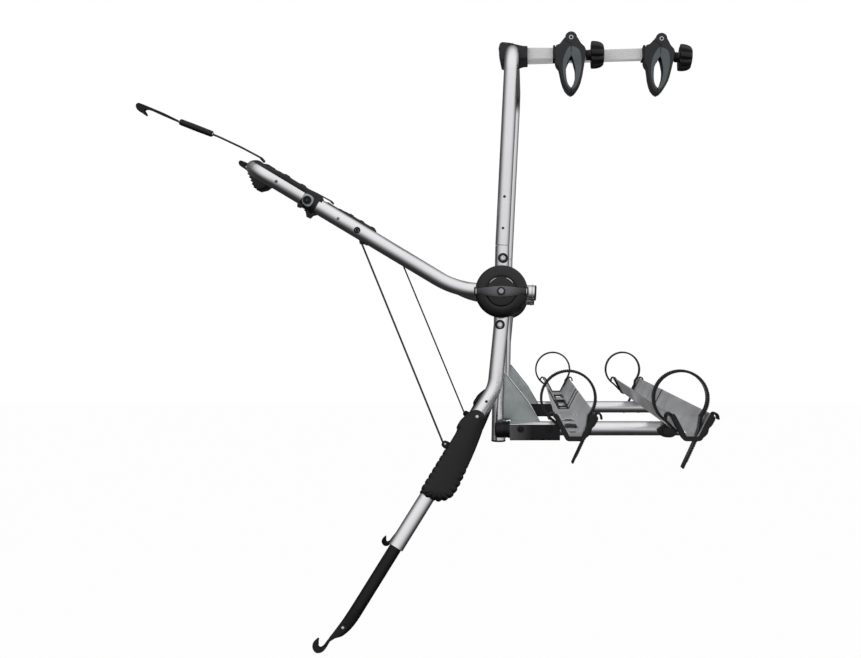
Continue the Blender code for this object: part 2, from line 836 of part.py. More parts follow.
def make_lower_pad(label, side):
    """A long rubber shoe that straddles the leg and swings on its rivet."""
    outline = [
        (-0.0140, -0.0060),
        (-0.0145, 0.0040),
        (-0.0110, 0.0125),
        (0.0000, 0.0190),
        (0.0240, 0.0260),
        (0.0670, 0.0340),
        (0.1080, 0.0390),
        (0.1440, 0.0425),
        (0.1620, 0.0405),
        (0.1760, 0.0300),
        (0.1855, 0.0130),
        (0.1875, -0.0050),
        (0.1850, -0.0177),
        (0.0430, -0.0195),
        (0.0345, -0.0247),
        (0.0210, -0.0245),
        (0.0000, -0.0180),
        (-0.0080, -0.0140),
    ]
    place = leg_frame(side, SHOE_RIVET)
    piece = prism("shoe", outline, SHOE_WIDTH, place)
    slot = SHOE_SLOT
    cut(piece, block("leg_slot", (-0.03, -0.04, -slot), (0.20, 0.001, slot), place))
    cut(piece, block("top_slot", (-0.03, -0.04, -slot), (0.010, 0.04, slot), place))
    start = place @ Vector((-0.03, 0, 0))
    end = place @ Vector((0.21, 0, 0))
    cut(piece, rod("leg_room", start, end, slot + 0.0003, TUBE_SIDES))
    ends = [place @ Vector((0, 0, way * SHOE_WIDTH)) for way in (-1, 1)]
    cut(piece, rod("rivet_hole", ends[0], ends[1], RIVET_RADIUS + 0.0004))
    finish(piece, "lower_pad_" + label, "lower_pad_" + label, BLACK_RUBBER)


# Cables and upper hooks


def make_stay_cable(label, side):
    """The stay from the arm's underside to the eye on the leg."""
    start = at(side, STAY_TOP)
    end = leg_frame(side, SHOE_RIVET + EYE_AT) @ Vector((0, -EYE_OUT - 0.006, 0))
    piece = tube("stay", even_points([start, end], CABLE_STEP), CABLE_RADIUS, 8)
    finish(piece, "stay_cable_" + label, "front_frame", BLACK_STEEL)


def hook_cable_point(side, spot):
    return Vector((spot[0], side * HOOK_CABLE_Y, spot[1]))


def make_hook_cable(label, side):
    spots = (HOOK_CABLE_EXIT, *HOOK_CABLE_TURNS, SLEEVE_END)
    corners = [hook_cable_point(side, spot) for spot in spots]
    bend = 0.25
    path = even_points(rounded_path(corners, (bend, bend)), CABLE_STEP)
    piece = tube("cable", path, CABLE_RADIUS, 8)
    finish(piece, "hook_cable_" + label, "upper_hook_" + label, BLACK_STEEL)


def make_cable_sleeve(label, side):
    start = hook_cable_point(side, SLEEVE_START)
    end = hook_cable_point(side, SLEEVE_END)
    way = end - start
    turn = way.to_track_quat("Z", "Y").to_matrix().to_4x4()
    length = way.length
    profile = [
        (0, 0),
        (0.0042, 0),
        (0.0058, 0.006),
        (SLEEVE_RADIUS, 0.012),
        (SLEEVE_RADIUS, length - 0.006),
        (0.0055, length - 0.0006),
        (0, length - 0.0006),
    ]
    piece = turned("sleeve", profile, Matrix.Translation(start) @ turn, steps=16)
    cut(piece, rod("sleeve_bore", start - way * 0.1, end + way * 0.1, SLEEVE_BORE))
    finish(piece, "cable_sleeve_" + label, "upper_hook_" + label, BLACK_PLASTIC)


def make_upper_hook(label, side):
    """The hook for the top edge of the tailgate, with its tapered shank."""
    outline = [
        (-0.0004, 0.0018),
        (-0.0279, 0.0155),
        (-0.0535, 0.0263),
        (-0.0725, 0.0342),
        (-0.0798, 0.0366),
        (-0.0842, 0.0342),
        (-0.0854, 0.0295),
        (-0.0828, 0.0231),
        (-0.0778, 0.0187),
        (-0.0713, 0.0149),
        (-0.0655, 0.0107),
        (-0.0637, 0.0129),
        (-0.0663, 0.0181),
        (-0.0687, 0.0213),
        (-0.0663, 0.0235),
        (-0.0611, 0.0235),
        (-0.0547, 0.0213),
        (-0.0303, 0.0103),
        (-0.0020, -0.0018),
    ]
    place = side_view(SLEEVE_END[0], side * HOOK_CABLE_Y, SLEEVE_END[1])
    piece = prism("hook", outline, UPPER_HOOK_WIDTH, place)
    finish(piece, "upper_hook_" + label, "upper_hook_" + label, BLACK_STEEL)


# Bike arms


def make_arm_connector(label, arm):
    outline = [
        (-0.0317, 0.0141),
        (-0.0284, 0.0251),
        (-0.0207, 0.0295),
        (-0.0010, 0.0273),
        (0.0165, 0.0207),
        (0.0330, 0.0185),
        (0.0330, -0.0185),
        (0.0165, -0.0190),
        (0.0078, -0.0209),
        (-0.0251, -0.0209),
    ]
    place = side_view(CROSSBAR_X, arm["y"], CROSSBAR_Z, arm["tilt"])
    piece = prism("connector", outline, CONNECTOR_WIDTH, place)
    ends = [place @ Vector((0, 0, way * CONNECTOR_WIDTH)) for way in (-1, 1)]
    cut(piece, rod("crossbar_hole", ends[0], ends[1], CONNECTOR_BORE + 0.0004, TUBE_SIDES))
    room = FIT_GAP
    high = BIKE_BAR_HEIGHT / 2 + room
    wide = BIKE_BAR_WIDTH / 2 + room
    pocket = block("pocket", (BIKE_BAR_START - room, -high, -wide), (0.05, high, wide), place)
    cut(piece, pocket)
    finish(piece, "arm_connector_" + label, "bike_arm_" + label, DARK_GREY_PLASTIC)


def jaw_frame(arm):
    return side_view(arm["pin"][0], arm["y"], arm["pin"][1], arm["turn"])


def make_bike_bar(label, arm):
    """The extruded bar from the connector to the back plate of the jaws."""
    place = side_view(CROSSBAR_X, arm["y"], CROSSBAR_Z, arm["tilt"])
    plate = place.inverted() @ jaw_frame(arm) @ Vector((-0.0390, -0.0336, 0))
    end = plate.x - 0.0020
    high = BIKE_BAR_HEIGHT / 2
    wide = BIKE_BAR_WIDTH / 2
    piece = block("bar", (BIKE_BAR_START, -high, -wide), (end, high, wide), place)
    high -= BIKE_BAR_WALL
    wide -= BIKE_BAR_WALL
    inside = block("inside", (BIKE_BAR_START - 0.01, -high, -wide), (end + 0.01, high, wide), place)
    cut(piece, inside)
    finish(piece, "bike_bar_" + label, "bike_arm_" + label, PALE_ALUMINIUM)


def knuckle(place, radius, low, high):
    """A round piece on the jaw pin, between two places along it."""
    return rod("knuckle", place @ Vector((0, 0, low)), place @ Vector((0, 0, high)), radius, 20)


def make_fixed_jaw(label, arm):
    half = FIT_GAP / 2
    outline = [
        (-half, 0.0149),
        (-0.0171, 0.0005),
        (-0.0348, -0.0134),
        (-0.0348, -0.0172),
        (-0.0390, -0.0172),
        (-0.0390, -0.0474),
        (-0.0348, -0.0474),
        (-0.0335, -0.0575),
        (-0.0272, -0.0601),
        (-0.0221, -0.0878),
        (-0.0133, -0.1104),
        (-half, -0.1218),
        (-half, -0.1093),
        (-0.0080, -0.0980),
        (-0.0109, -0.0803),
        (-0.0109, -0.0652),
        (-0.0060, -0.0500),
        (-half, -0.0386),
    ]
    place = jaw_frame(arm)
    piece = prism("jaw", outline, JAW_WIDTH, place)
    edge = JAW_WIDTH / 2
    join(piece, knuckle(place, KNUCKLE_RADIUS, -KNUCKLE_HALF, KNUCKLE_HALF))
    room = KNUCKLE_RADIUS + 0.0006
    for way in (-1, 1):
        cut(piece, knuckle(place, room, way * KNUCKLE_HALF, way * (edge + 0.002)))
    join(piece, knuckle(place, PIN_RADIUS, -edge + 0.0005, edge - 0.0005))
    low = (-0.0135, JAW_STUD_Z - 0.0085, -0.0048)
    high = (0.002, JAW_STUD_Z + 0.0050, 0.0048)
    cut(piece, block("stud_slot", low, high, place))
    finish(piece, "fixed_jaw_" + label, "bike_arm_" + label, DARK_GREY_PLASTIC)


def make_moving_jaw(label, arm):
    half = FIT_GAP / 2
    outline = [
        (half, 0.0149),
        (half, -0.0386),
        (0.0050, -0.0500),
        (0.0093, -0.0702),
        (0.0093, -0.0827),
        (0.0060, -0.0980),
        (half, -0.1093),
        (half, -0.1218),
        (0.0130, -0.1104),
        (0.0220, -0.0928),
        (0.0268, -0.0702),
        (0.0291, -0.0551),
        (0.0332, -0.0173),
        (0.0295, -0.0083),
        (0.0156, 0.0018),
    ]
    place = jaw_frame(arm)
    piece = prism("jaw", outline, JAW_WIDTH, place)
    edge = JAW_WIDTH / 2
    inside = KNUCKLE_HALF + FIT_GAP
    for way in (-1, 1):
        join(piece, knuckle(place, KNUCKLE_RADIUS, way * inside, way * edge))
    cut(piece, knuckle(place, KNUCKLE_RADIUS + 0.0006, -inside, inside))
    cut(piece, knuckle(place, PIN_RADIUS + 0.0004, -edge - 0.002, edge + 0.002))
    start = place @ Vector((-0.005, JAW_STUD_Z, 0))
    end = place @ Vector((0.05, JAW_STUD_Z, 0))
    cut(piece, rod("stud_hole", start, end, JAW_STUD_RADIUS + 0.0004))
    finish(piece, "moving_jaw_" + label, "moving_jaw_" + label, DARK_GREY_PLASTIC)


def make_clamp_knob(label, arm):
    """A lobed knob with its neck and the threaded stud, turned round the stud's axis."""
    neck = 0.0340
    stud_length = neck + 0.009
    profile = [
        (0, -stud_length),
        (JAW_STUD_RADIUS, -stud_length),
        (JAW_STUD_RADIUS, 0),
        (0.0115, 0),
        (0.0115, 0.0098),
        (0.0290, 0.0100),
        (0.0300, 0.0125),
        (0.0298, 0.0220),
        (0.0270, 0.0320),
        (0.0210, 0.0385),
        (0, 0.0390),
    ]
    place = jaw_frame(arm) @ Matrix.Translation((neck, JAW_STUD_Z, 0))
    piece = turned("knob", profile, place @ Matrix.Rotation(math.pi / 2, 4, "Y"))
    lobes = 8
    for i in range(lobes):
        spoke = Matrix.Rotation(2 * math.pi * (i + 0.5) / lobes, 4, "X") @ Vector((0, 0.0335, 0))
        start = place @ (spoke + Vector((0.008, 0, 0)))
        end = place @ (spoke + Vector((0.045, 0, 0)))
        cut(piece, rod("groove", start, end, 0.0065, 10))
    finish(piece, "clamp_knob_" + label, "clamp_knob_" + label, BLACK_PLASTIC)


# Wheel trays


def tray_profile():
    """The middle of the tray's sheet, from one rolled lip down, across and up to the other."""
    lip = 0.0035
    low = TRAY_SHEET / 2
    top = TRAY_HEIGHT - lip
    right = [(TRAY_FLOOR_HALF, low), (TRAY_TOP_HALF - lip, top), (TRAY_TOP_HALF, TRAY_HEIGHT)]
    left = [(-x, z) for x, z in reversed(right)]
    return left + right


def strap_path():
    """The strap's middle line: from its anchor in the tray up round the wheel, and down its tail."""
    cx, cz = STRAP_CENTRE
    steps = 14
    first = math.radians(237)
    last = math.radians(-42)
    points = [(cx - 0.0080, 0.0100)]
    for i in range(steps + 1):
        angle = first + (last - first) * i / steps
        points.append((cx + STRAP_RADIUS * math.cos(angle), cz + STRAP_RADIUS * math.sin(angle)))
    points += [(0.0225, 0.0160), (0.0155, -0.0058), (-0.0040, -0.0478)]
    return points


def tray_place(tray, y):
    return side_view(TRAY_X[tray], y, TRAY_FLOOR_Z)


def make_tray_half(tray, label, side):
    """Half of a wheel tray: a trough of folded sheet with its windows and strap slot."""
    near = FIT_GAP / 2
    place = tray_place(tray, side * (near + TRAY_LENGTH) / 2)
    piece = prism("trough", ribbon(tray_profile(), TRAY_SHEET), TRAY_LENGTH - near, place)
    for y in (0.34, 0.42, 0.50):
        middle = tray_place(tray, side * y)
        cut(piece, block("window", (-0.006, -0.005, -0.022), (0.006, 0.006, 0.022), middle))
    room = tray_place(tray, side * STRAP_Y)
    slot = prism("strap_slot", ribbon(strap_path(), STRAP_THICKNESS + 0.002), STRAP_WIDTH + 0.002, room)
    cut(piece, slot)
    finish(piece, f"tray_{tray}_{label}", "wheel_tray_" + tray, PALE_ALUMINIUM)


def make_tray_cap(tray, label, side):
    """The U shaped end cap that wraps the sheet's end."""
    gap = 0.0004
    sheet_end = TRAY_LENGTH + gap
    cap_end = TRAY_LENGTH + 0.003
    sleeve_end = cap_end - 0.0005
    place = tray_place(tray, side * (sleeve_end - CAP_LENGTH / 2))
    shift = -(TRAY_SHEET / 2 + gap + CAP_SHEET / 2)
    piece = prism("sleeve", ribbon(tray_profile(), CAP_SHEET, shift), CAP_LENGTH, place)
    rim = ribbon(tray_profile(), TRAY_SHEET + CAP_SHEET + 0.0012, shift / 2 - 0.0003)
    place = tray_place(tray, side * (sheet_end + cap_end) / 2)
    join(piece, prism("rim", rim, cap_end - sheet_end, place))
    finish(piece, f"tray_cap_{tray}_{label}", "wheel_tray_" + tray, BLACK_PLASTIC)


def make_wheel_strap(tray, label, side):
    place = tray_place(tray, side * STRAP_Y)
    piece = prism("strap", ribbon(strap_path(), STRAP_THICKNESS), STRAP_WIDTH, place)
    finish(piece, f"wheel_strap_{tray}_{label}", "wheel_tray_" + tray, BLACK_RUBBER)


make_upright_frame()
make_front_frame()
for label, side in SIDES.items():
    make_lower_post(label, side)
    make_gusset(label, side)
    make_platform_bar(label, side)
    make_bar_cap(label, side)
    make_hub_plate(label, side)
    make_hub_cover(label, side)
    make_wing_knob(label, side)
    make_arm_pad(label, side)
    make_arm_clamp(label, side)
    make_end_foot(label, side)
    make_leg_outer(label, side)
    make_leg_inner(label, side)
    make_lower_hook(label, side)
    make_lower_pad(label, side)
    make_stay_cable(label, side)
    make_hook_cable(label, side)
    make_cable_sleeve(label, side)
    make_upper_hook(label, side)
    for tray in TRAY_X:
        make_tray_half(tray, label, side)
        make_tray_cap(tray, label, side)
        make_wheel_strap(tray, label, side)
for label, arm in BIKE_ARMS.items():
    make_arm_connector(label, arm)
    make_bike_bar(label, arm)
    make_fixed_jaw(label, arm)
    make_moving_jaw(label, arm)
    make_clamp_knob(label, arm)
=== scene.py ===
# %% [markdown]
# # A bike rack for a hatchback, dressed in Blender
#
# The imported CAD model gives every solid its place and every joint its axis. This lesson puts the looks
# round that frame: smooth tubes, ribbed rubber, toothed straps, wire rope and the studio that the rack
# stands in. All lengths are metres, but outlines are written in millimetres, inside `mm`. +X points away
# from the car, +Y to the rack's right side, +Z up.

import bmesh
import bpy
import numpy as np
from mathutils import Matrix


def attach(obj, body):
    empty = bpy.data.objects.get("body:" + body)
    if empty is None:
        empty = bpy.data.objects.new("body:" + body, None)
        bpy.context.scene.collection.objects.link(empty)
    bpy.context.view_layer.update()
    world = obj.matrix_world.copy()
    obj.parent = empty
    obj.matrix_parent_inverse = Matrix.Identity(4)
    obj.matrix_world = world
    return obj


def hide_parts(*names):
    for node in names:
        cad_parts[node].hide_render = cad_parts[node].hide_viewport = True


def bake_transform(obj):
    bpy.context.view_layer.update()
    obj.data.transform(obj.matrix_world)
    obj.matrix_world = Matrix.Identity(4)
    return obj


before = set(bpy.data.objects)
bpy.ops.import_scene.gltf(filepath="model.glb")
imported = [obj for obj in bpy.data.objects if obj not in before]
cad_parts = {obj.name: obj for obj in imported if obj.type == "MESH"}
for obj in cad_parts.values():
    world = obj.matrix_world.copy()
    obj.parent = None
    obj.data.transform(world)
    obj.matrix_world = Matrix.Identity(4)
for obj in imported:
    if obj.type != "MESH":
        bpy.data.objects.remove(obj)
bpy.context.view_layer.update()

# %% [markdown]
# ## The camera
#
# The photograph looks straight along +Y, level, from about two and a half metres. Its optical axis does not
# pass through the middle of the picture, so the camera is not turned: a small lens shift moves the frame
# instead, which keeps the posts parallel to the picture's edge.

# %% Camera
IMAGE_SIZE = np.array([861, 658])
FOCAL_PIXELS = 1035
AXIS_PIXEL = np.array([527, 322])
SENSOR = 36
CAMERA_PLACE = (0.0526, -2.45, -0.0628)

camera_data = bpy.data.cameras.new("camera")
camera_data.sensor_width = SENSOR
camera_data.lens = SENSOR * FOCAL_PIXELS / IMAGE_SIZE[0]
shift = (IMAGE_SIZE / 2 - AXIS_PIXEL) / IMAGE_SIZE[0]
camera_data.shift_x = shift[0]
camera_data.shift_y = -shift[1]
camera = bpy.data.objects.new("camera", camera_data)
camera.location = CAMERA_PLACE
camera.rotation_euler = (np.pi / 2, 0, 0)
bpy.context.scene.collection.objects.link(camera)
bpy.context.scene.camera = camera
bpy.context.scene.view_settings.view_transform = "Standard"
print("lens", round(camera_data.lens, 2), "shift", shift.round(4))

# %% [markdown]
# ## Surfaces from arrays
#
# Nearly every piece of the rack is a ring of points carried along something: a circle along a bent tube, an
# outline through the thickness of a plate, a profile round an axis. So a few small helpers are enough. Each
# one works out whole arrays of points, and `skin` joins neighbouring rings with quads.


# %% Rings and skins
TUBE_SIDES = 56


def mm(points):
    """Points written in millimetres, as tuples in metres."""
    return [tuple(value / 1000 for value in point) for point in points]


def unit(vectors):
    """Each vector divided by its length."""
    vectors = np.asarray(vectors, float)
    return vectors / np.linalg.norm(vectors, axis=-1, keepdims=True)


def skin(rings, loop=False):
    """Quads between neighbouring rings. Ring i joins ring i + 1, and point j joins point j + 1, round to the
    first. Rings in a loop close on themselves, and others get a face at each end."""
    rows, columns = rings.shape[:2]
    index = np.arange(rows * columns).reshape(rows, columns)
    if loop:
        index = np.vstack([index, index[:1]])
    beside = np.roll(index, -1, axis=1)
    quads = np.stack([index[:-1], beside[:-1], beside[1:], index[1:]], axis=-1)
    faces = quads.reshape(-1, 4).tolist()
    if not loop:
        faces += [index[0, ::-1].tolist(), index[-1].tolist()]
    return rings.reshape(-1, 3), faces


def carried(path, up):
    """Two directions square to the path at each point, the first as near to `up` as the path allows."""
    path = np.asarray(path, float)
    ahead = unit(np.gradient(path, axis=0))
    first = unit(up - ahead[0] * np.dot(up, ahead[0]))
    tops = [first]
    for way in ahead[1:]:
        turned = tops[-1] - way * np.dot(tops[-1], way)
        tops.append(unit(turned))
    tops = np.array(tops)
    return tops, np.cross(ahead, tops)


def round_spine(path, first, second, radius, angle):
    """Rings round a path: centre + radius * (cos a * first + sin a * second), for the given angles a."""
    circle = np.cos(angle)[None, :, None] * first[:, None] + np.sin(angle)[None, :, None] * second[:, None]
    return path[:, None] + radius[..., None] * circle


def rope(path, radius, sides, up=(0, 0, 1)):
    """Full circles round a path."""
    path = np.asarray(path, float)
    top, across = carried(path, np.asarray(up, float))
    angle = np.arange(sides) * 2 * np.pi / sides
    return round_spine(path, across, top, np.broadcast_to(radius, len(path))[:, None], angle)


def pipe(path, radius, bore):
    """An open tube: rings along the outside, then back along the bore, closed into one loop."""
    outside = rope(path, radius, TUBE_SIDES)
    inside = rope(path, bore, TUBE_SIDES)[::-1]
    return skin(np.vstack([outside, inside]), loop=True)


def rounded(corners, radii, arc=4.0):
    """Straight runs between corners, each inner corner replaced by an arc of its radius, with a point every
    few degrees. The arc's centre lies on the line that halves the corner."""
    corners = np.asarray(corners, float)
    points = [corners[:1]]
    for before, corner, after, radius in zip(corners, corners[1:], corners[2:], radii):
        back, ahead = unit(before - corner), unit(after - corner)
        turn = np.pi - np.arccos(np.clip(back @ ahead, -1, 1))
        centre = corner + unit(back + ahead) * radius / np.cos(turn / 2)
        start = corner + back * radius * np.tan(turn / 2) - centre
        sweep = unit(-back) * radius
        angle = np.linspace(0, turn, max(3, int(np.degrees(turn) / arc)))[:, None]
        points.append(centre + start * np.cos(angle) + sweep * np.sin(angle))
    return np.vstack([*points, corners[-1:]])


def at_lengths(path, lengths):
    """Points at the given distances along a path."""
    path = np.asarray(path, float)
    steps = np.linalg.norm(np.diff(path, axis=0), axis=1)
    run = np.concatenate([[0], np.cumsum(steps)])
    return np.stack([np.interp(lengths, run, path[:, k]) for k in range(path.shape[1])], axis=1)


def run_length(path):
    """The length of a path."""
    return float(np.linalg.norm(np.diff(np.asarray(path, float), axis=0), axis=1).sum())


print("a quarter bend of 50 mm has", len(rounded([(0, 0, 0), (1, 0, 0), (1, 1, 0)], (0.05,))) - 2, "points")

# %% [markdown]
# ## Plates, turned pieces and places
#
# A plate is its outline carried through its thickness, and the first and last rings draw in a little, so
# each edge is rounded and catches the light as a moulded or punched edge does. A band is a sheet that
# follows a line, as folded sheet and straps do. A turned piece is a profile of radius and height spun round
# an axis. A *place* is a 4 by 4 matrix, the same local frames that the CAD source uses.


# %% Plates, turned pieces and places
def place(origin, along, across):
    """A local frame: x along, y across, z square to both."""
    frame_matrix = np.eye(4)
    frame_matrix[:3, 0] = along
    frame_matrix[:3, 1] = across
    frame_matrix[:3, 2] = np.cross(along, across)
    frame_matrix[:3, 3] = origin
    return frame_matrix


def put(points, matrix):
    """Local points moved to their place."""
    return np.asarray(points, float) @ matrix[:3, :3].T + matrix[:3, 3]


def moved(matrix, x=0.0, y=0.0, z=0.0):
    """The same frame with its origin moved by a local offset."""
    result = matrix.copy()
    result[:3, 3] = put([(x, y, z)], matrix)[0]
    return result


def side_view(x, y, z, degrees=0.0):
    """A frame whose x and y lie in the picture's plane and whose z points at the camera."""
    turn = np.radians(degrees)
    return place((x, y, z), (np.cos(turn), 0, np.sin(turn)), (-np.sin(turn), 0, np.cos(turn)))


def flowing(outline, per=4, closed=True):
    """A smooth curve through all the points (Catmull-Rom): between p1 and p2 it is a cubic whose slope at
    each point is half the step from the point before to the point after."""
    spots = np.asarray(outline, float)
    if closed:
        spots = np.vstack([spots[-1:], spots, spots[:2]])
    else:
        spots = np.vstack([2 * spots[:1] - spots[1:2], spots, 2 * spots[-1:] - spots[-2:-1]])
    a, b, c, d = spots[:-3, None], spots[1:-2, None], spots[2:-1, None], spots[3:, None]
    t = (np.arange(per) / per)[None, :, None]
    curve = b + t * (c - a) / 2 + t**2 * (2 * a - 5 * b + 4 * c - d) / 2 + t**3 * (3 * b - a - 3 * c + d) / 2
    curve = curve.reshape(-1, spots.shape[1])
    return curve if closed else np.vstack([curve, spots[-2:-1]])


def area(outline):
    """Twice the signed area of a flat outline: positive when it runs anticlockwise."""
    x, y = np.asarray(outline, float).T
    return np.sum(x * np.roll(y, -1) - np.roll(x, -1) * y)


def drawn_in(outline, amount):
    """Each point moved inwards along the line that halves its corner, far enough to move both edges by the
    amount."""
    spots = np.asarray(outline, float)
    into = unit(spots - np.roll(spots, 1, axis=0))
    out = unit(np.roll(spots, -1, axis=0) - spots)
    normal = unit(np.stack([-into[:, 1] - out[:, 1], into[:, 0] + out[:, 0]], axis=1) + 1e-9)
    lean = np.clip(np.sum(normal * np.stack([-into[:, 1], into[:, 0]], axis=1), axis=1), 0.6, 1)
    return spots + normal * (amount * np.sign(area(outline)) / lean)[:, None]


def plate(outline, low, high, matrix, edge=0.0008, steps=3):
    """An outline carried from low to high along local z. Ring k of each edge is drawn in by
    edge * (1 - cos a) and lies edge * (1 - sin a) inside the face, for angles a from 0 to a right angle."""
    outline = np.asarray(outline, float)
    angle = np.linspace(np.pi / 2, 0, steps + 1)
    rings = []
    for lean in angle:
        flat = drawn_in(outline, edge * (1 - np.cos(lean)) if lean < np.pi / 2 else edge)
        rings.append(np.column_stack([flat, np.full(len(flat), low + edge * (1 - np.sin(lean)))]))
    upper = [np.column_stack([ring[:, :2], low + high - ring[:, 2]]) for ring in rings[::-1]]
    return skin(put(np.array(rings + upper), matrix))


def band(points, low_side, high_side, low, high, matrix, edge):
    """A sheet that follows flat points. Each point becomes a small ring round the sheet's section: the
    point moved along its normal to low_side or high_side, and along local z to low or high, with the four
    corners cut by edge."""
    spots = np.asarray(points, float)
    ahead = unit(np.gradient(spots, axis=0))
    left = np.stack([-ahead[:, 1], ahead[:, 0]], axis=1)
    inner = np.broadcast_to(low_side, len(spots))
    outer = np.broadcast_to(high_side, len(spots))
    sides = [outer - edge, outer, outer, outer - edge, inner + edge, inner, inner, inner + edge]
    heights = [high, high - edge, low + edge, low, low, low + edge, high - edge, high]
    rings = np.empty((len(spots), 8, 3))
    for k, (offset, height) in enumerate(zip(sides, heights)):
        rings[:, k, :2] = spots + left * offset[:, None]
        rings[:, k, 2] = height
    return skin(put(rings, matrix))


def turned(profile, matrix, steps, loop=False):
    """A profile of (radius, height) pairs spun round local z: point j of a ring lies at angle 2 pi j /
    steps."""
    profile = np.asarray(profile, float)
    angle = np.arange(steps) * 2 * np.pi / steps
    circle = np.stack([np.cos(angle), np.sin(angle)], axis=1)
    rings = np.empty((len(profile), steps, 3))
    rings[:, :, :2] = profile[:, None, :1] * circle[None]
    rings[:, :, 2] = profile[:, None, 1]
    return skin(put(rings, matrix), loop)


def spun_ring(profile, matrix, steps):
    """A closed profile that stays clear of the axis, spun into a ring."""
    return turned(profile, matrix, steps, loop=True)


def ball_edge(radius, low, high, edge):
    """The profile of a round disc or pin with rounded rims."""
    angle = np.linspace(0, np.pi / 2, 4)
    rise = [(radius - edge * (1 - np.sin(a)), low + edge * (1 - np.cos(a))) for a in angle]
    fall = [(r, low + high - h) for r, h in rise[::-1]]
    return [(0, low), *rise, *fall, (0, high)]


ten_corners = np.random.default_rng(1).random((10, 2))
print("a plate with 10 corners has", len(plate(ten_corners, 0, 1, np.eye(4))[0]), "points")

# %% [markdown]
# ## From arrays to pieces
#
# `joined` puts one or more shells into a mesh, welds the seams and poles and turns every face outwards.
# `piece` shades it smooth except where faces meet at a clear angle, gives it its material, puts it on the
# CAD body it rides on and hides the CAD nodes that it stands for. `drill` cuts real holes.

# %% Pieces
SHARP = np.radians(32)
SEAM = 0.000002
made = {}


def joined(name, shells):
    """One mesh from closed shells of points and faces."""
    points, faces, start = [], [], 0
    for shell_points, shell_faces in shells:
        points.append(shell_points)
        faces += [[index + start for index in face] for face in shell_faces]
        start += len(shell_points)
    mesh = bpy.data.meshes.new(name)
    mesh.from_pydata(np.vstack(points).tolist(), [], faces)
    work = bmesh.new()
    work.from_mesh(mesh)
    bmesh.ops.remove_doubles(work, verts=work.verts, dist=SEAM)
    bmesh.ops.recalc_face_normals(work, faces=work.faces)
    work.to_mesh(mesh)
    work.free()
    return mesh


def piece(name, shells, material, body, nodes=(), sharp=SHARP):
    """One named object, on its body and with its material."""
    mesh = joined(name, shells)
    mesh.shade_smooth()
    mesh.set_sharp_from_angle(angle=sharp)
    obj = bpy.data.objects.new(name, mesh)
    bpy.context.scene.collection.objects.link(obj)
    mesh.materials.append(material)
    if body:
        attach(obj, body)
    if nodes:
        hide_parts(*nodes)
    made[name] = len(mesh.polygons)
    return obj


def drill(obj, shells):
    """Cuts holes into a piece with one exact Boolean, and shades the new edges sharp."""
    tool = bpy.data.objects.new("drill", joined("drill", shells))
    bpy.context.scene.collection.objects.link(tool)
    modifier = obj.modifiers.new("drill", "BOOLEAN")
    modifier.solver = "EXACT"
    modifier.object = tool
    bpy.context.view_layer.update()
    result = bpy.data.meshes.new_from_object(obj.evaluated_get(bpy.context.evaluated_depsgraph_get()))
    obj.modifiers.clear()
    obj.data = result
    result.set_sharp_from_angle(angle=SHARP)
    bpy.data.objects.remove(tool)


# %% [markdown]
# ## Finishes
#
# The rack has few finishes, but each has a texture of its own. Anodised tube is a satin metal with a faint
# fine relief and cloudy roughness. Moulded plastic has a fine spark-eroded grain. Rubber is duller and
# coarser. The paint on the steel is a smooth powder coat with a light orange peel. All patterns read Object
# coordinates, which are the rack's own metres because every piece's object sits at the origin.


# %% Node helpers
def new_material(name):
    """A fresh material, its nodes, its links and its shader."""
    material = bpy.data.materials.new(name)
    material.use_nodes = True
    nodes = material.node_tree.nodes
    return material, nodes, material.node_tree.links, nodes["Principled BSDF"]


def noise(nodes, links, scale, detail, rough=0.5, stretch=(1, 1, 1)):
    """Noise on Object coordinates, stretched along the axes that have small factors."""
    spot = nodes.new("ShaderNodeTexCoord")
    mapping = nodes.new("ShaderNodeMapping")
    mapping.inputs["Scale"].default_value = stretch
    texture = nodes.new("ShaderNodeTexNoise")
    texture.inputs["Scale"].default_value = scale
    texture.inputs["Detail"].default_value = detail
    texture.inputs["Roughness"].default_value = rough
    links.new(spot.outputs["Object"], mapping.inputs["Vector"])
    links.new(mapping.outputs["Vector"], texture.inputs["Vector"])
    return texture.outputs["Fac"]


def spread(nodes, links, value, low, high, out_low, out_high):
    """The value's range from low to high, stretched to another range."""
    node = nodes.new("ShaderNodeMapRange")
    for socket, number in zip(node.inputs[1:5], (low, high, out_low, out_high)):
        socket.default_value = number
    links.new(value, node.inputs["Value"])
    return node.outputs["Result"]


def between(nodes, links, factor, first, second):
    """A colour between two colours."""
    node = nodes.new("ShaderNodeMix")
    node.data_type = "RGBA"
    for socket, colour in ((node.inputs[6], first), (node.inputs[7], second)):
        if isinstance(colour, bpy.types.NodeSocket):
            links.new(colour, socket)
        else:
            socket.default_value = (*colour, 1)
    links.new(factor, node.inputs["Factor"])
    return node.outputs[2]


def finish(
    name, dark, light, rough, metallic=0.0, cloud=9.0, grain=900.0, relief=0.00002, stretch=(1, 1, 1),
    specular=0.5,
):
    """A finish whose colour drifts between two tones and whose roughness drifts with it, over a fine
    relief."""
    material, nodes, links, shader = new_material(name)
    drift = noise(nodes, links, cloud, detail=4.0, rough=0.6)
    tone = spread(nodes, links, drift, 0.3, 0.7, 0.0, 1.0)
    links.new(between(nodes, links, tone, dark, light), shader.inputs["Base Color"])
    links.new(spread(nodes, links, drift, 0.3, 0.7, rough[0], rough[1]), shader.inputs["Roughness"])
    shader.inputs["Metallic"].default_value = metallic
    shader.inputs["Specular IOR Level"].default_value = specular
    bump = nodes.new("ShaderNodeBump")
    bump.inputs["Distance"].default_value = relief
    fine = noise(nodes, links, grain, detail=2.0, stretch=stretch)
    links.new(fine, bump.inputs["Height"])
    links.new(bump.outputs["Normal"], shader.inputs["Normal"])
    return material


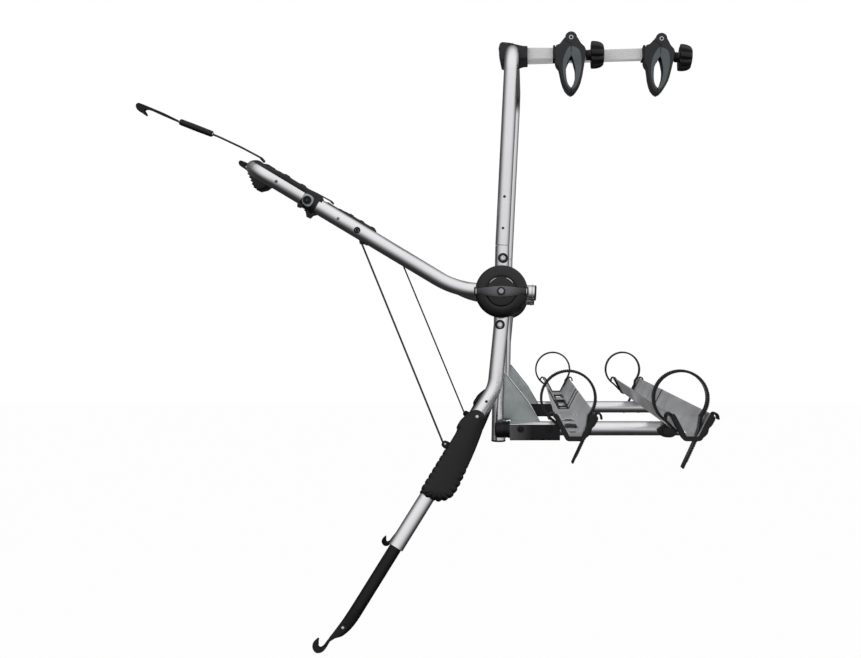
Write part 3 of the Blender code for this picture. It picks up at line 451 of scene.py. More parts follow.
# %% The finishes of the rack
anodised = finish(
    "satin_anodised_tube", (0.76, 0.76, 0.785), (0.84, 0.84, 0.86), (0.20, 0.28), 1.0,
    grain=500, relief=0.000003,
)
pale_extrusion = finish(
    "pale_matte_extrusion", (0.84, 0.84, 0.845), (0.90, 0.90, 0.905), (0.40, 0.50),
    grain=420, stretch=(0.02, 1, 1), specular=0.4,
)
tray_sheet = finish(
    "brushed_tray_sheet", (0.66, 0.665, 0.675), (0.82, 0.825, 0.835), (0.34, 0.46), 0.55,
    cloud=14, grain=700, stretch=(1, 0.02, 1),
)
zinc_plate = finish(
    "satin_gusset_plate", (0.30, 0.33, 0.335), (0.50, 0.53, 0.535), (0.28, 0.40), 0.9,
    cloud=14, grain=600, relief=0.00001,
)
# Painted highlight: a pale metal finish that makes the gusset's fold and the arcs on the hub covers show as
# bright lines, though the fold is the gusset's own sheet and the arcs the cover's plastic.
pale_highlight_metal = finish(
    "pressed_fold_highlight", (0.70, 0.70, 0.71), (0.80, 0.80, 0.81), (0.28, 0.38), 0.8,
    grain=600, relief=0.00001,
)
# Painted shade: the channel under the bar is grey sheet like the gusset, given a near-black colour because it
# lies in shadow. The collar bolts share this finish.
dark_channel = finish(
    "dark_channel_plate", (0.006, 0.006, 0.008), (0.014, 0.014, 0.017), (0.26, 0.38),
    grain=600, relief=0.00001, specular=0.2,
)
moulded = finish(
    "fine_grain_black_plastic", (0.003, 0.003, 0.0042), (0.008, 0.008, 0.0095), (0.28, 0.40),
    grain=1500, specular=0.32,
)
jaw_plastic = finish(
    "dark_grey_jaw_plastic", (0.016, 0.0165, 0.018), (0.030, 0.031, 0.034), (0.36, 0.48),
    grain=1200, relief=0.00003, specular=0.32,
)
rubber = finish(
    "black_rubber", (0.0012, 0.0012, 0.0018), (0.0035, 0.0035, 0.0045), (0.30, 0.42),
    grain=700, relief=0.00004, specular=0.34,
)
painted_steel = finish(
    "black_powder_coat", (0.003, 0.003, 0.0035), (0.007, 0.007, 0.008), (0.26, 0.36),
    grain=350, specular=0.22,
)
bright_steel = finish(
    "bright_steel", (0.50, 0.50, 0.52), (0.62, 0.62, 0.64), (0.22, 0.34), 1.0,
    relief=0.000004,
)
print("finishes:", len(bpy.data.materials))

# %% [markdown]
# ## The studio
#
# The photograph is cut out on white, but its tubes still tell how it was lit: a broad soft light above and
# to the left of the camera, a darker room to the right and below, and pale paper behind. The world repeats
# that for the metal, as bright and dark regions of direction, while the camera sees plain white. Three
# large soft lamps light the matte pieces, and a pale floor far below, nearly as white as the paper, sends
# some of it back up.


# %% World
SOFT_BOX_WAY = (0.28, -0.72, 0.55)
SOFT_BOX_STRENGTH = 0.88
ROOM_WAY = (0, 0.2, 1)
ROOM_LOW = 0.03
ROOM_HIGH = 0.13
AMBIENT = 0.55


def studio_world():
    """White for the camera. For reflections: a soft bright lobe round one direction, which fades out below
    the horizon, over a room that is dim below and brighter above. For soft light: an even grey."""
    world = bpy.data.worlds.new("studio")
    bpy.context.scene.world = world
    world.use_nodes = True
    nodes, links = world.node_tree.nodes, world.node_tree.links
    nodes.clear()
    out = nodes.new("ShaderNodeOutputWorld")
    direction = nodes.new("ShaderNodeTexCoord").outputs["Generated"]
    way = nodes.new("ShaderNodeVectorMath")
    way.operation = "NORMALIZE"
    links.new(direction, way.inputs[0])

    def lobe(axis, low, high, value_low, value_high):
        """A value that changes softly with the cosine of the angle to an axis."""
        dot = nodes.new("ShaderNodeVectorMath")
        dot.operation = "DOT_PRODUCT"
        dot.inputs[1].default_value = unit(axis)
        links.new(way.outputs[0], dot.inputs[0])
        value = spread(nodes, links, dot.outputs["Value"], low, high, value_low, value_high)
        value.node.interpolation_type = "SMOOTHSTEP"
        return value

    def join(first, second, operation="ADD"):
        """Two values worked into one."""
        node = nodes.new("ShaderNodeMath")
        node.operation = operation
        links.new(first, node.inputs[0])
        links.new(second, node.inputs[1])
        return node.outputs[0]

    soft_box = lobe(SOFT_BOX_WAY, -0.45, 0.8, 0.0, SOFT_BOX_STRENGTH)
    horizon = lobe((0, 0, 1), -0.9, 0.30, 0.16, 1.0)
    soft_box = join(soft_box, horizon, "MULTIPLY")
    room = lobe(ROOM_WAY, -0.4, 0.9, ROOM_LOW, ROOM_HIGH)
    seen = join(soft_box, room)

    path = nodes.new("ShaderNodeLightPath")
    colour_seen = nodes.new("ShaderNodeCombineColor")
    for socket in colour_seen.inputs[:3]:
        links.new(seen, socket)
    grey = (AMBIENT, AMBIENT, AMBIENT * 1.01)
    even = between(nodes, links, path.outputs["Is Glossy Ray"], grey, colour_seen.outputs[0])
    clear = join(path.outputs["Is Camera Ray"], path.outputs["Is Transmission Ray"], "MAXIMUM")
    colour = between(nodes, links, clear, even, (1, 1, 1))
    background = nodes.new("ShaderNodeBackground")
    links.new(colour, background.inputs["Color"])
    links.new(background.outputs[0], out.inputs["Surface"])


studio_world()


# %% Lamps
RACK_MIDDLE = (-0.15, 0.0, -0.05)


def soft_lamp(name, spot, size, power):
    """A square area lamp at a spot, facing the rack. It isn't seen in reflections: the world's lobes are."""
    data = bpy.data.lights.new(name, "AREA")
    data.size = size
    data.energy = power
    lamp = bpy.data.objects.new(name, data)
    lamp.location = spot
    way = unit(np.subtract(RACK_MIDDLE, spot))
    lamp.rotation_euler = (float(np.arccos(-way[2])), 0, float(np.arctan2(-way[0], way[1])))
    lamp.visible_glossy = False
    bpy.context.scene.collection.objects.link(lamp)


soft_lamp("key", (-1.6, -2.6, 2.2), 1.8, 16)
soft_lamp("fill", (2.6, -2.0, 0.6), 1.6, 4)
soft_lamp("top", (0.4, 0.9, 3.0), 2.2, 10)

# %% Floor
FLOOR_DROP = -1.35
FLOOR_REACH = 14.0
FLOOR_GLOW = 0.975
floor_material, floor_nodes, floor_links, floor_shader = new_material("pale_floor")
floor_shader.inputs["Base Color"].default_value = (0.86, 0.86, 0.86, 1)
floor_shader.inputs["Roughness"].default_value = 0.9
floor_shader.inputs["Specular IOR Level"].default_value = 0.1
glow = floor_nodes.new("ShaderNodeEmission")
glow.inputs["Strength"].default_value = 1.0
light_path = floor_nodes.new("ShaderNodeLightPath")
share = spread(floor_nodes, floor_links, light_path.outputs["Is Camera Ray"], 0, 1, 0, FLOOR_GLOW)
floor_mix = floor_nodes.new("ShaderNodeMixShader")
floor_links.new(share, floor_mix.inputs[0])
floor_links.new(floor_shader.outputs[0], floor_mix.inputs[1])
floor_links.new(glow.outputs[0], floor_mix.inputs[2])
floor_links.new(floor_mix.outputs[0], floor_nodes["Material Output"].inputs["Surface"])
floor_mesh = bpy.data.meshes.new("floor")
floor_corners = [
    (x * FLOOR_REACH, y * FLOOR_REACH, FLOOR_DROP) for x, y in ((-1, -1), (1, -1), (1, 1), (-1, 1))
]
floor_mesh.from_pydata(floor_corners, [], [(0, 1, 2, 3)])
floor_mesh.materials.append(floor_material)
floor = bpy.data.objects.new("floor", floor_mesh)
floor.visible_glossy = False
bpy.context.scene.collection.objects.link(floor)

# %% [markdown]
# ## The frame's own measures
#
# These are the driving sizes of the CAD source, repeated here because a piece that stands for a solid lies
# exactly where the solid lies. The rack is the same on both sides, so a point is given for the right side
# and turned to the left by its Y.

# %% Places on the rack
SIDES = {"left": -1, "right": 1}
ARM_Y = 0.296
STUB_END = (0.068, ARM_Y, -0.0024)
ARM_START = (-0.0946, ARM_Y, 0.0046)
ARM_CORNER = (-0.503, 0.395, 0.251)
LEG_TOP = (0.0011, 0.296, -0.045)
LEG_BEND = (-0.0137, 0.312, -0.1988)
LEG_END = (-0.2061, 0.411, -0.5068)
SHOE_RIVET = 0.0748
EYE_AT = 0.078
EYE_OUT = 0.0245


def on_side(side, point):
    """A point of the right side, turned to the side asked for."""
    return np.array([point[0], side * point[1], point[2]])


def arm_place(side, distance=0.0):
    """x up the straight part of the arm, y square to it and upwards."""
    along = unit(on_side(side, ARM_CORNER) - on_side(side, ARM_START))
    across = unit(np.cross((0, 1, 0), along))
    return place(on_side(side, ARM_START) + along * distance, along, across)


def leg_place(side, distance):
    """x down the straight part of the leg, y square to it, away from the car."""
    along = unit(on_side(side, LEG_END) - on_side(side, LEG_BEND))
    across = unit(np.cross(along, (0, 1, 0)))
    return place(on_side(side, LEG_BEND) + along * distance, along, across)


LEG_LENGTH = float(np.linalg.norm(np.subtract(LEG_END, LEG_BEND)))
print("straight leg", round(LEG_LENGTH, 4))

# %% [markdown]
# ## Wire ropes first
#
# Four thin black wire ropes show. Two stays run taut from the underside of the arms to the legs, and stop
# the legs where they are. Two shorter ropes leave the arms' corners, pass through an adjusting sleeve and
# end in the hooks for the hatch's top edge. They are four millimetres thick with their black jacket, and
# their ends are held, so they bow only slightly. A stay joins two bodies that turn on one axis, and its
# piece rides on neither of them.

# %% Wire ropes
ROPE_RADIUS = 0.002
STAY_TOP = (-0.284, 0.341, 0.0968)
HOOK_ROPE_Y = 0.37
HOOK_ROPE_CORNERS = ((-0.4822, 0.2672), (-0.520, 0.2875), (-0.5684, 0.3102), (-0.6468, 0.3405))
HOOK_ROPE_BEND = 0.25

jacket = finish(
    "black_rope_jacket", (0.008, 0.008, 0.009), (0.020, 0.020, 0.022), (0.32, 0.45), grain=900,
    relief=0.00008
)
stays = {}
hook_ropes = {}
for label, side in SIDES.items():
    top = on_side(side, STAY_TOP)
    foot = put([(0, -EYE_OUT - 0.006, 0)], leg_place(side, SHOE_RIVET + EYE_AT))[0]
    path = top + (foot - top) * np.linspace(0, 1, 36)[:, None]
    round_rope = [skin(rope(path, ROPE_RADIUS, 16))]
    stay = piece("stay_rope_" + label, round_rope, jacket, None, ["stay_cable_" + label])
    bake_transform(stay)
    stays[label] = (stay, path)
    corners = [(x, side * HOOK_ROPE_Y, z) for x, z in HOOK_ROPE_CORNERS]
    bent = rounded(corners, (HOOK_ROPE_BEND, HOOK_ROPE_BEND))
    path = at_lengths(bent, np.linspace(0, run_length(bent), 30))
    round_rope = [skin(rope(path, ROPE_RADIUS, 16))]
    body = "upper_hook_" + label
    hook_rope = piece("hook_rope_" + label, round_rope, jacket, body, ["hook_cable_" + label])
    hook_ropes[label] = (hook_rope, path)
    print(label, "stay", round(run_length(stays[label][1]), 4), "hook rope", round(run_length(path), 4))

# %% [markdown]
# ## Tubes
#
# The rack is bent from aluminium tube. Each one is a circle carried along its axis, with the wall and the
# bore that its open end shows. Push-button holes are real holes, cut with an exact Boolean, because a dark
# dot painted on metal looks wrong as soon as the view turns.

# %% Upright frame and lower posts
POST_Y = 0.243
SEAM_Z = 0.101
CROSSBAR = (0.0207, 0.524)
POST_FOOT = (-0.0084, -0.3136)
POST_RADIUS = 0.015
POST_BORE = 0.013
POST_HOLES = (0.203, 0.136)
PUSH_HOLE = 0.003


def pin_along(start, end, radius, steps=24):
    """A closed round pin between two points."""
    path = np.linspace(start, end, 2)
    return skin(rope(path, radius, steps, up=(0.3, 0.4, 0.8)))


ends = [(0, SEAM_Z), CROSSBAR]
posts = [(x, -POST_Y, z) for x, z in ends] + [(x, POST_Y, z) for x, z in ends[::-1]]
upright_shell = [pipe(rounded(posts, (0.05, 0.05)), POST_RADIUS, POST_BORE)]
upright = piece("upright_tube", upright_shell, anodised, "rack_body", ["upright_frame"])
holes = []
for side in SIDES.values():
    for z in POST_HOLES:
        x = CROSSBAR[0] * (z - SEAM_Z) / (CROSSBAR[1] - SEAM_Z)
        holes.append(pin_along((x, side * POST_Y, z), (x, side * (POST_Y + 0.03), z), PUSH_HOLE))
drill(upright, holes)


def post_point(side, z):
    """The lower post's axis, which leans back a little, at a height."""
    part = (SEAM_Z - z) / (SEAM_Z - POST_FOOT[1])
    return np.array([POST_FOOT[0] * part, side * POST_Y, z])


for label, side in SIDES.items():
    axis = [post_point(side, z) for z in np.linspace(SEAM_Z - 0.0013, POST_FOOT[1], 6)]
    shells = [pipe(axis, POST_RADIUS, POST_BORE)]
    piece("lower_tube_" + label, shells, anodised, "rack_body", ["lower_post_" + label])
print("upright faces", len(upright.data.polygons))

# %% Front frame
ARM_RADIUS = 0.01575
ARM_BORE = 0.01375
ARM_HOLES = (0.281, 0.421)
STUD_HOLE = 0.0063


def arm_path(side):
    """The arm's axis from its open end behind the hub to the middle of the crossbar."""
    corners = [on_side(side, spot) for spot in (STUB_END, ARM_START, ARM_CORNER)]
    return rounded([*corners, (ARM_CORNER[0], 0, ARM_CORNER[2])], (0.17, 0.05), arc=3.0)


front_path = np.vstack([arm_path(-1)[:-1], arm_path(1)[:-1][::-1]])
front_shell = [pipe(front_path, ARM_RADIUS, ARM_BORE)]
front = piece("front_tube", front_shell, anodised, "front_frame", ["front_frame"])
holes = []
for side in SIDES.values():
    for distance in ARM_HOLES:
        spot = arm_place(side, distance)
        holes.append(pin_along(spot[:3, 3], put([(0, 0, side * 0.02)], spot)[0], PUSH_HOLE))
    holes.append(pin_along((0, side * 0.26, 0), (0, side * 0.33, 0), STUD_HOLE))
drill(front, holes)

# %% Legs
LEG_RADIUS = 0.0155
LEG_BORE = 0.013
LEG_HOLE = 0.0365
for label, side in SIDES.items():
    leg_axis = rounded([on_side(side, spot) for spot in (LEG_TOP, LEG_BEND, LEG_END)], (0.08,), arc=2.0)
    shells = [pipe(leg_axis, LEG_RADIUS, LEG_BORE)]
    body = "leg_" + label
    leg = piece("leg_tube_" + label, shells, anodised, body, ["leg_outer_" + label])
    spot = leg_place(side, LEG_HOLE)
    drill(leg, [pin_along(spot[:3, 3], put([(0, 0, -side * 0.02)], spot)[0], PUSH_HOLE)])

# %% Platform bars
BAR_Y = 0.2745
BAR_Z = -0.2863
BAR_RADIUS = 0.015
BAR_BORE = 0.013
BAR_X = (0.0169, 0.372)
for label, side in SIDES.items():
    axis = [(x, side * BAR_Y, BAR_Z) for x in np.linspace(*BAR_X, 4)]
    shells = [pipe(axis, BAR_RADIUS, BAR_BORE)]
    piece("bar_tube_" + label, shells, anodised, "rack_body", ["platform_bar_" + label])

# %% [markdown]
# ## Hubs
#
# Each hub is a sandwich: an inner plate with its stud, the leg's lug, the arm's open end and a domed cover,
# drawn together by a wing grip on the stud's bolt. The cover is one turned profile, with a low boss, a groove
# round it and a rolled rim. The dark disc's two small glints are painted highlights: two thin arcs in a pale
# metal finish along the boss's edge. The grip is a rounded section carried along X, wide and proud at the
# bolt and slim at its tips, with a painted highlight that makes it paler near the bolt.

# %% Frames that face outwards
def outward(side, x=0.0, y=0.0, z=0.0):
    """x and y in the picture's plane and z away from the rack's middle, on either side."""
    matrix = np.eye(4)
    matrix[:3, 1] = (0, 0, 1)
    matrix[:3, 2] = (0, side, 0)
    matrix[:3, 3] = (x, side * y, z)
    return matrix


def arm_face(side, distance):
    """The arm's frame with z turned outwards."""
    matrix = arm_place(side, distance)
    matrix[:3, 2] *= side
    return matrix


def leg_face(side, distance):
    """The leg's frame with z turned outwards."""
    matrix = leg_place(side, distance)
    matrix[:3, 2] *= -side
    return matrix


# %% Sections, screws and blocks
WASHER = [(0.6, 0), (1, 0), (1, 0.0012), (0.88, 0.0024), (0.66, 0.0024), (0.6, 0.0016)]
SCREW_HEAD = [
    (0, 0), (0.58, 0), (0.58, 0.0014), (0.50, 0.0024), (0.32, 0.0028), (0.26, 0.0028), (0.22, 0.0002),
    (0, 0.0002),
]


def rounded_section(half_height, low, high, power):
    """A superellipse: |y / a| ** power + |z / b| ** power = 1, as (y, z) pairs."""
    angle = np.arange(32) * 2 * np.pi / 32
    y = np.sign(np.cos(angle)) * np.abs(np.cos(angle)) ** (2 / power) * half_height
    z = np.sign(np.sin(angle)) * np.abs(np.sin(angle)) ** (2 / power) * (high - low) / 2 + (high + low) / 2
    return np.stack([y, z], axis=1)


def screw(matrix, radius):
    """A black washer ring and a domed steel head with its round socket, on the frame's own z. Their
    profiles are (share of the radius, height)."""
    ring = spun_ring(np.array(WASHER) * (radius, 1), matrix, 40)
    head = turned(np.array(SCREW_HEAD) * (radius, 1), matrix, 40)
    return ring, head


def block(low, high, matrix, edge=0.0008):
    """A box between two local corners, with rounded edges along its outline."""
    outline = [(low[0], low[1]), (high[0], low[1]), (high[0], high[1]), (low[0], high[1])]
    return plate(outline, low[2], high[2], matrix, min(edge, (high[2] - low[2]) / 3))


# %% Hub plates and covers
COVER_PROFILE = mm([
    (6.6, 313.5), (52.5, 313.5), (54, 314.8), (54.3, 318.5), (54.1, 321.5), (53.2, 323.6), (51.2, 325.4),
    (48, 327.1), (43.5, 328.7), (38.5, 329.9), (34, 330.5), (32.2, 330.1), (31.1, 329.6), (30.2, 330.2),
    (29.6, 331.6), (28.6, 332.4), (24, 332.9), (15, 333.3), (6.6, 333.5),
])
HUB_BACK_PROFILE = mm([
    (0, 258.3), (48, 258.3), (49.5, 258.8), (50, 260.3), (50, 268.9), (49.4, 269.5), (6, 269.5), (6, 346.2),
    (0, 346.2),
])
EAR = mm([(47.5, -8.5), (56, -7), (56, 8.5), (47.5, 10)])
RIDGE_RADIUS = 0.0292
RIDGE_OUT = 0.3321
hub_plastic = finish(
    "hub_cover_plastic", (0.0015, 0.0015, 0.0025), (0.004, 0.0038, 0.006), (0.20, 0.28),
    grain=1300, cloud=20, specular=0.44
)
for label, side in SIDES.items():
    hub = outward(side)
    shells = [turned(HUB_BACK_PROFILE, hub, 64)]
    piece("hub_back_" + label, shells, moulded, "rack_body", ["hub_plate_" + label])
    shells = [spun_ring(COVER_PROFILE, hub, 96)]
    for way in (-1, 1):
        shells.append(plate(np.array(EAR) * (way, 1), 0.3150, 0.3290, hub, 0.0012))
    piece("hub_cap_" + label, shells, hub_plastic, "rack_body", ["hub_cover_" + label])
    # Painted highlights: thin arcs in a pale metal finish on the boss's edge stand in for the cover's two
    # glints.
    ridges = []
    for first, last in ((36, 70), (110, 144)):
        turn = np.radians(np.linspace(first, last, 24))
        circle = np.column_stack([np.cos(turn), np.sin(turn)]) * RIDGE_RADIUS
        arc = np.column_stack([circle, np.full(24, RIDGE_OUT)])
        thin = 0.0009 * np.sin(np.linspace(0.15, np.pi - 0.15, 24)) ** 0.5
        ridges.append(skin(rope(put(arc, hub), thin, 10, up=(0, 1, 0))))
    piece("hub_glint_ridge_" + label, ridges, pale_highlight_metal, "rack_body")
    shells = []
    for x in (-0.0518, 0.0518):
        shells.append(block((x - 0.0011, -0.0045, 0.3286), (x + 0.0011, 0.0055, 0.3296), hub, 0.0003))
    piece("hub_latch_" + label, shells, bright_steel, "rack_body")

# %% Wing grips
WING_HALF = 0.049
WING_LOW = 0.3338
grip_plastic = finish(
    "wing_grip_plastic", (0.018, 0.018, 0.020), (0.030, 0.029, 0.033), (0.22, 0.30), grain=1200, cloud=30
)
WING_WASHER = mm([(5.6, 345), (8.6, 345), (8.6, 346.2), (7.8, 347), (5.6, 347)])
WING_BOLT = mm([(0, 345.6), (5.4, 345.6), (5.4, 347.6), (4.6, 348.6), (3, 348.8), (2.6, 347.2), (0, 347.2)])


def paint_highlight_near_axis(material, near, far, colour):
    """Paints a highlight into a finish, colour standing in for light: paler in full within near of the hubs'
    axis along X, and not at all past far, in metres."""
    nodes, links = material.node_tree.nodes, material.node_tree.links
    base = nodes["Principled BSDF"].inputs["Base Color"]
    spot = nodes.new("ShaderNodeTexCoord")
    apart = nodes.new("ShaderNodeSeparateXYZ")
    links.new(spot.outputs["Object"], apart.inputs[0])
    size = nodes.new("ShaderNodeMath")
    size.operation = "ABSOLUTE"
    links.new(apart.outputs["X"], size.inputs[0])
    highlight_share = spread(nodes, links, size.outputs[0], near, far, 1.0, 0.0)
    links.new(between(nodes, links, highlight_share, base.links[0].from_socket, colour), base)


# Painted highlights: colour standing in for light makes the wing grip paler near its bolt and the channel
# plate paler near the post.
paint_highlight_near_axis(grip_plastic, 0.014, 0.042, (0.130, 0.128, 0.140))
paint_highlight_near_axis(dark_channel, 0.016, 0.062, (0.125, 0.125, 0.130))
for label, side in SIDES.items():
    hub = outward(side)
    x = np.linspace(-WING_HALF, WING_HALF, 41)
    share = np.abs(x) / WING_HALF
    half = 0.0060 + 0.0050 * (1 - share**1.4)
    rise = 0.0048 + 0.0070 * (1 - share**2)
    half[[0, -1]] *= 0.8
    rings = []
    for spot, height, top in zip(x, half, rise):
        section = rounded_section(height, WING_LOW, WING_LOW + top, 2.6)
        rings.append(np.column_stack([np.full(len(section), spot), section]))
    body = "wing_knob_" + label
    shells = [skin(put(np.array(rings), hub))]
    piece("wing_grip_" + label, shells, grip_plastic, body, [body])
    piece("wing_washer_" + label, [spun_ring(WING_WASHER, hub, 48)], moulded, body)
    piece("wing_bolt_" + label, [turned(WING_BOLT, hub, 48)], zinc_plate, body)
print("hub pieces", sorted(name for name in made if "hub" in name or "wing" in name))

# %% [markdown]
# ## Plugs, screws and grommets
#
# Small black rings and bright heads sit at every joint of the rack. They share two shapes: a turned plug
# for an open tube, and a screw with its washer.

# %% Plugs and screws
def plug(matrix, radius, bore):
    """A moulded end plug: its stem fills the bore and its rolled head covers the tube's wall."""
    profile = [
        (0, -0.012), (bore - 0.0004, -0.012), (bore - 0.0004, 0.0003), (radius + 0.0002, 0.0003),
        (radius + 0.0004, 0.0018), (radius - 0.0002, 0.0032), (radius - 0.002, 0.0040), (0, 0.0042),
    ]
    return turned(profile, matrix, 48)


def axis_place(origin, way):
    """A frame whose z runs along a direction."""
    ahead = unit(way)
    helper = (0, 0, 1) if abs(ahead[2]) < 0.9 else (1, 0, 0)
    first = unit(np.cross(helper, ahead))
    matrix = np.eye(4)
    matrix[:3, 0], matrix[:3, 1], matrix[:3, 2] = first, np.cross(ahead, first), ahead
    matrix[:3, 3] = origin
    return matrix


STUB_BAND = mm([(15.8, -6.2), (16.6, -6.2), (16.9, -4.5), (16.6, -2.8), (15.8, -2.8)])
GROMMET = mm([(3, 0), (6.8, 0), (6.6, 1.8), (5.4, 2.6), (3.6, 2.2)])
GROMMET_AT = 0.237
ring_shells, head_shells = [], []
front_plugs, front_bands, front_rings = [], [], []
leg_parts = {}
for label, side in SIDES.items():
    stub = axis_place(on_side(side, STUB_END), on_side(side, STUB_END) - on_side(side, ARM_START))
    front_plugs.append(plug(stub, ARM_RADIUS, ARM_BORE))
    front_bands.append(spun_ring(STUB_BAND, stub, 56))
    grommet = moved(arm_face(side, GROMMET_AT), z=ARM_RADIUS - 0.0012)
    front_rings.append(spun_ring(GROMMET, grommet, 36))
    front_rings.append(turned([(0, 0), (0.0032, 0), (0.0031, 0.0014), (0, 0.0016)], grommet, 24))
    ring, head = screw(outward(side, 0.0018, POST_Y + POST_RADIUS - 0.0008, 0.0727), 0.0108)
    ring_shells.append(ring)
    head_shells.append(head)
    for x in (0.0393, 0.0997):
        ring_shells.extend(screw(outward(side, x, 0.2932, -0.2864), 0.0068))
    foot = axis_place(post_point(side, POST_FOOT[1]), (POST_FOOT[0], 0, POST_FOOT[1] - SEAM_Z))
    ring_shells.append(plug(foot, POST_RADIUS, POST_BORE))
    leg_parts[label] = screw(outward(side, -0.0032, ARM_Y + LEG_RADIUS + 0.0014, -0.0684), 0.0102)
piece("post_washers", ring_shells, moulded, "rack_body")
piece("post_screws", head_shells, bright_steel, "rack_body")
piece("arm_plugs", front_plugs, moulded, "front_frame")
piece("arm_bands", front_bands, bright_steel, "front_frame")
piece("arm_grommets", front_rings, moulded, "front_frame")
for label, (ring, head) in leg_parts.items():
    piece("leg_washer_" + label, [ring], moulded, "leg_" + label)
    piece("leg_screw_" + label, [head], bright_steel, "leg_" + label)

# %% [markdown]
# ## Rubber on the front frame
#
# A ribbed strip lies along the top of each arm and round its corner, where the rack leans on the hatch. Its
# section is a crescent that hugs the tube, and its height swells into a block every 36 mm. Then come the
# rope anchors, the clamp on each arm and the end feet, which are stepped blocks on the crossbar: one
# outline, with a row of small steps along the face that meets the glass.

# %% Arm strips
STRIP_START = 0.325
STRIP_PITCH = 0.036
ROPE_ROOM = (0.100, 0.126)
STRIP_HALF_ANGLE = np.radians(48)


def pulse(value, pitch, share, soft):
    """A row of rounded steps, one every pitch: 1 on the given share of each, falling softly to 0."""
    phase = np.abs((np.asarray(value) / pitch) % 1 - 0.5)
    return np.clip((share / 2 + soft - phase) / soft, 0, 1)


for label, side in SIDES.items():
    corners = [
        arm_place(side, STRIP_START)[:3, 3],
        on_side(side, ARM_CORNER),
        (ARM_CORNER[0], side * (ARM_CORNER[1] - 0.06), ARM_CORNER[2]),
    ]
    axis = rounded(corners, (0.05,), arc=2.0)
    length = run_length(axis)
    reach = np.linspace(0, length - 0.030, 160)
    spine = at_lengths(axis, reach)
    top, across = carried(spine, arm_place(side)[:3, 1])
    height = 0.0044 + 0.0019 * pulse(reach + 0.006, STRIP_PITCH, 0.22, 0.10)
    taper = np.clip(np.minimum(reach, reach[-1] - reach) / 0.006 + 0.35, 0, 1)
    height *= taper * np.interp(reach, ROPE_ROOM, (1, 0.25))
    angle = np.linspace(-STRIP_HALF_ANGLE, STRIP_HALF_ANGLE, 21)
    swell = np.cos(angle / STRIP_HALF_ANGLE * np.pi / 2) ** 0.55
    outer = ARM_RADIUS + 0.0010 + height[:, None] * swell[None, :]
    inner = np.full_like(outer, ARM_RADIUS + 0.0004)
    outside, inside = (round_spine(spine, top, across, radius, angle) for radius in (outer, inner))
    rings = np.concatenate([outside, inside[:, ::-1]], axis=1)
    piece("arm_strip_" + label, [skin(rings)], rubber, "front_frame", ["arm_pad_" + label])

# %% Rope anchors
ANCHOR = mm([(0, 0.3), (2.4, 0.3), (2.8, 1.2), (2.8, 10), (2.4, 12), (0, 12)])
STAY_EYE = mm([(-6, 17), (-5.8, 3), (-3, -1), (3, -1), (5.8, 3), (6, 17)])
for label, side in SIDES.items():
    rope_start = np.array([HOOK_ROPE_CORNERS[0][0], side * HOOK_ROPE_Y, HOOK_ROPE_CORNERS[0][1]])
    anchor = axis_place(rope_start, (0.66, side * 0.16, -0.73))
    piece("rope_anchor_" + label, [turned(ANCHOR, anchor, 32)], rubber, "front_frame")
    x, y, z = STAY_TOP
    shells = [plate(flowing(STAY_EYE), y - 0.0075, y - 0.0035, outward(side, x, 0, z), 0.0010)]
    piece("stay_eye_" + label, shells, painted_steel, "front_frame")

# %% Arm clamps
CLAMP_AT = 0.348
COLLARS = ((0.3335, 0.3625, 0.0186), (0.3300, 0.3370, 0.0204))
CLAMP_TAB = mm([(-21, -29), (-12, -30), (-6, -22.5), (-4, -12), (-17, -12), (-23.5, -19)])
CLAMP_HEEL = mm([(6, -20.5), (13, -22.5), (16.5, -16.5), (15, -10), (4, -12)])
CLAMP_PLATE = mm([(-6, -10.5), (6.5, -11), (13, -3.5), (12.5, 10), (-4, 11), (-9.5, 1)])
for label, side in SIDES.items():
    shells = []
    for first, last, radius in COLLARS:
        start, end = (arm_place(side, distance)[:3, 3] for distance in (first, last))
        shells.append(pipe(np.linspace(start, end, 4), radius, ARM_RADIUS + 0.0004))
    face = arm_face(side, CLAMP_AT)
    shells.append(plate(CLAMP_TAB, -0.0075, 0.0075, face, 0.0014))
    shells.append(plate(CLAMP_HEEL, -0.0060, 0.0140, face, 0.0014))
    piece("arm_collar_" + label, shells, moulded, "front_frame", ["arm_clamp_" + label])
    shells = [plate(flowing(CLAMP_PLATE), 0.0150, 0.0206, face, 0.0016)]
    piece("collar_plate_" + label, shells, zinc_plate, "front_frame")
    ring, head = screw(moved(face, x=0.0035, z=0.0204), 0.0088)
    piece("collar_washer_" + label, [ring], moulded, "front_frame")
    piece("collar_bolt_" + label, [head], dark_channel, "front_frame")

# %% End feet
FOOT_FACE = mm([(-35, 21.5), (-32.8, 10), (-30, -2.5), (-23.2, -17.5), (-19.5, -28.5), (-12, -34.8)])
FOOT_BACK = mm([(2, -33), (13, -24), (20, -11), (22.2, 0), (15.6, 15.5), (0, 19), (-19, 17.2), (-29, 18.8)])
FOOT_STEPS = 8
FOOT_HALF = 0.0225
FOOT_EDGE = 0.0014
FOOT_Y = 0.255


def foot_skin(outline, radius, half, matrix):
    """A block pierced by a bar. Ring k goes once round the bar at the share s of the way from the bar's
    surface to the outline: point = p / |p| * (radius + s * (|p| - radius))."""
    reach = np.linalg.norm(outline, axis=1)[None, :, None]
    ray = outline[None] / reach
    wall = reach - radius
    drawn = np.array([0, 0, 1, 0.3, 0, 0, 0.3, 1, 0, 0])[:, None, None] * FOOT_EDGE
    kept = np.array([0, 0.5, 1, 1, 1, 1, 1, 1, 0.5, 0])[:, None, None]
    height = np.array([-1, -1, -1, -1, -1, 1, 1, 1, 1, 1]) * half
    height += np.array([0, 0, 0, 0.3, 1, -1, -0.3, 0, 0, 0]) * FOOT_EDGE
    flat = ray * (radius + kept * wall - drawn)
    rings = np.concatenate([flat, np.broadcast_to(height[:, None, None], (*flat.shape[:2], 1))], axis=2)
    return skin(put(rings, matrix), loop=True)


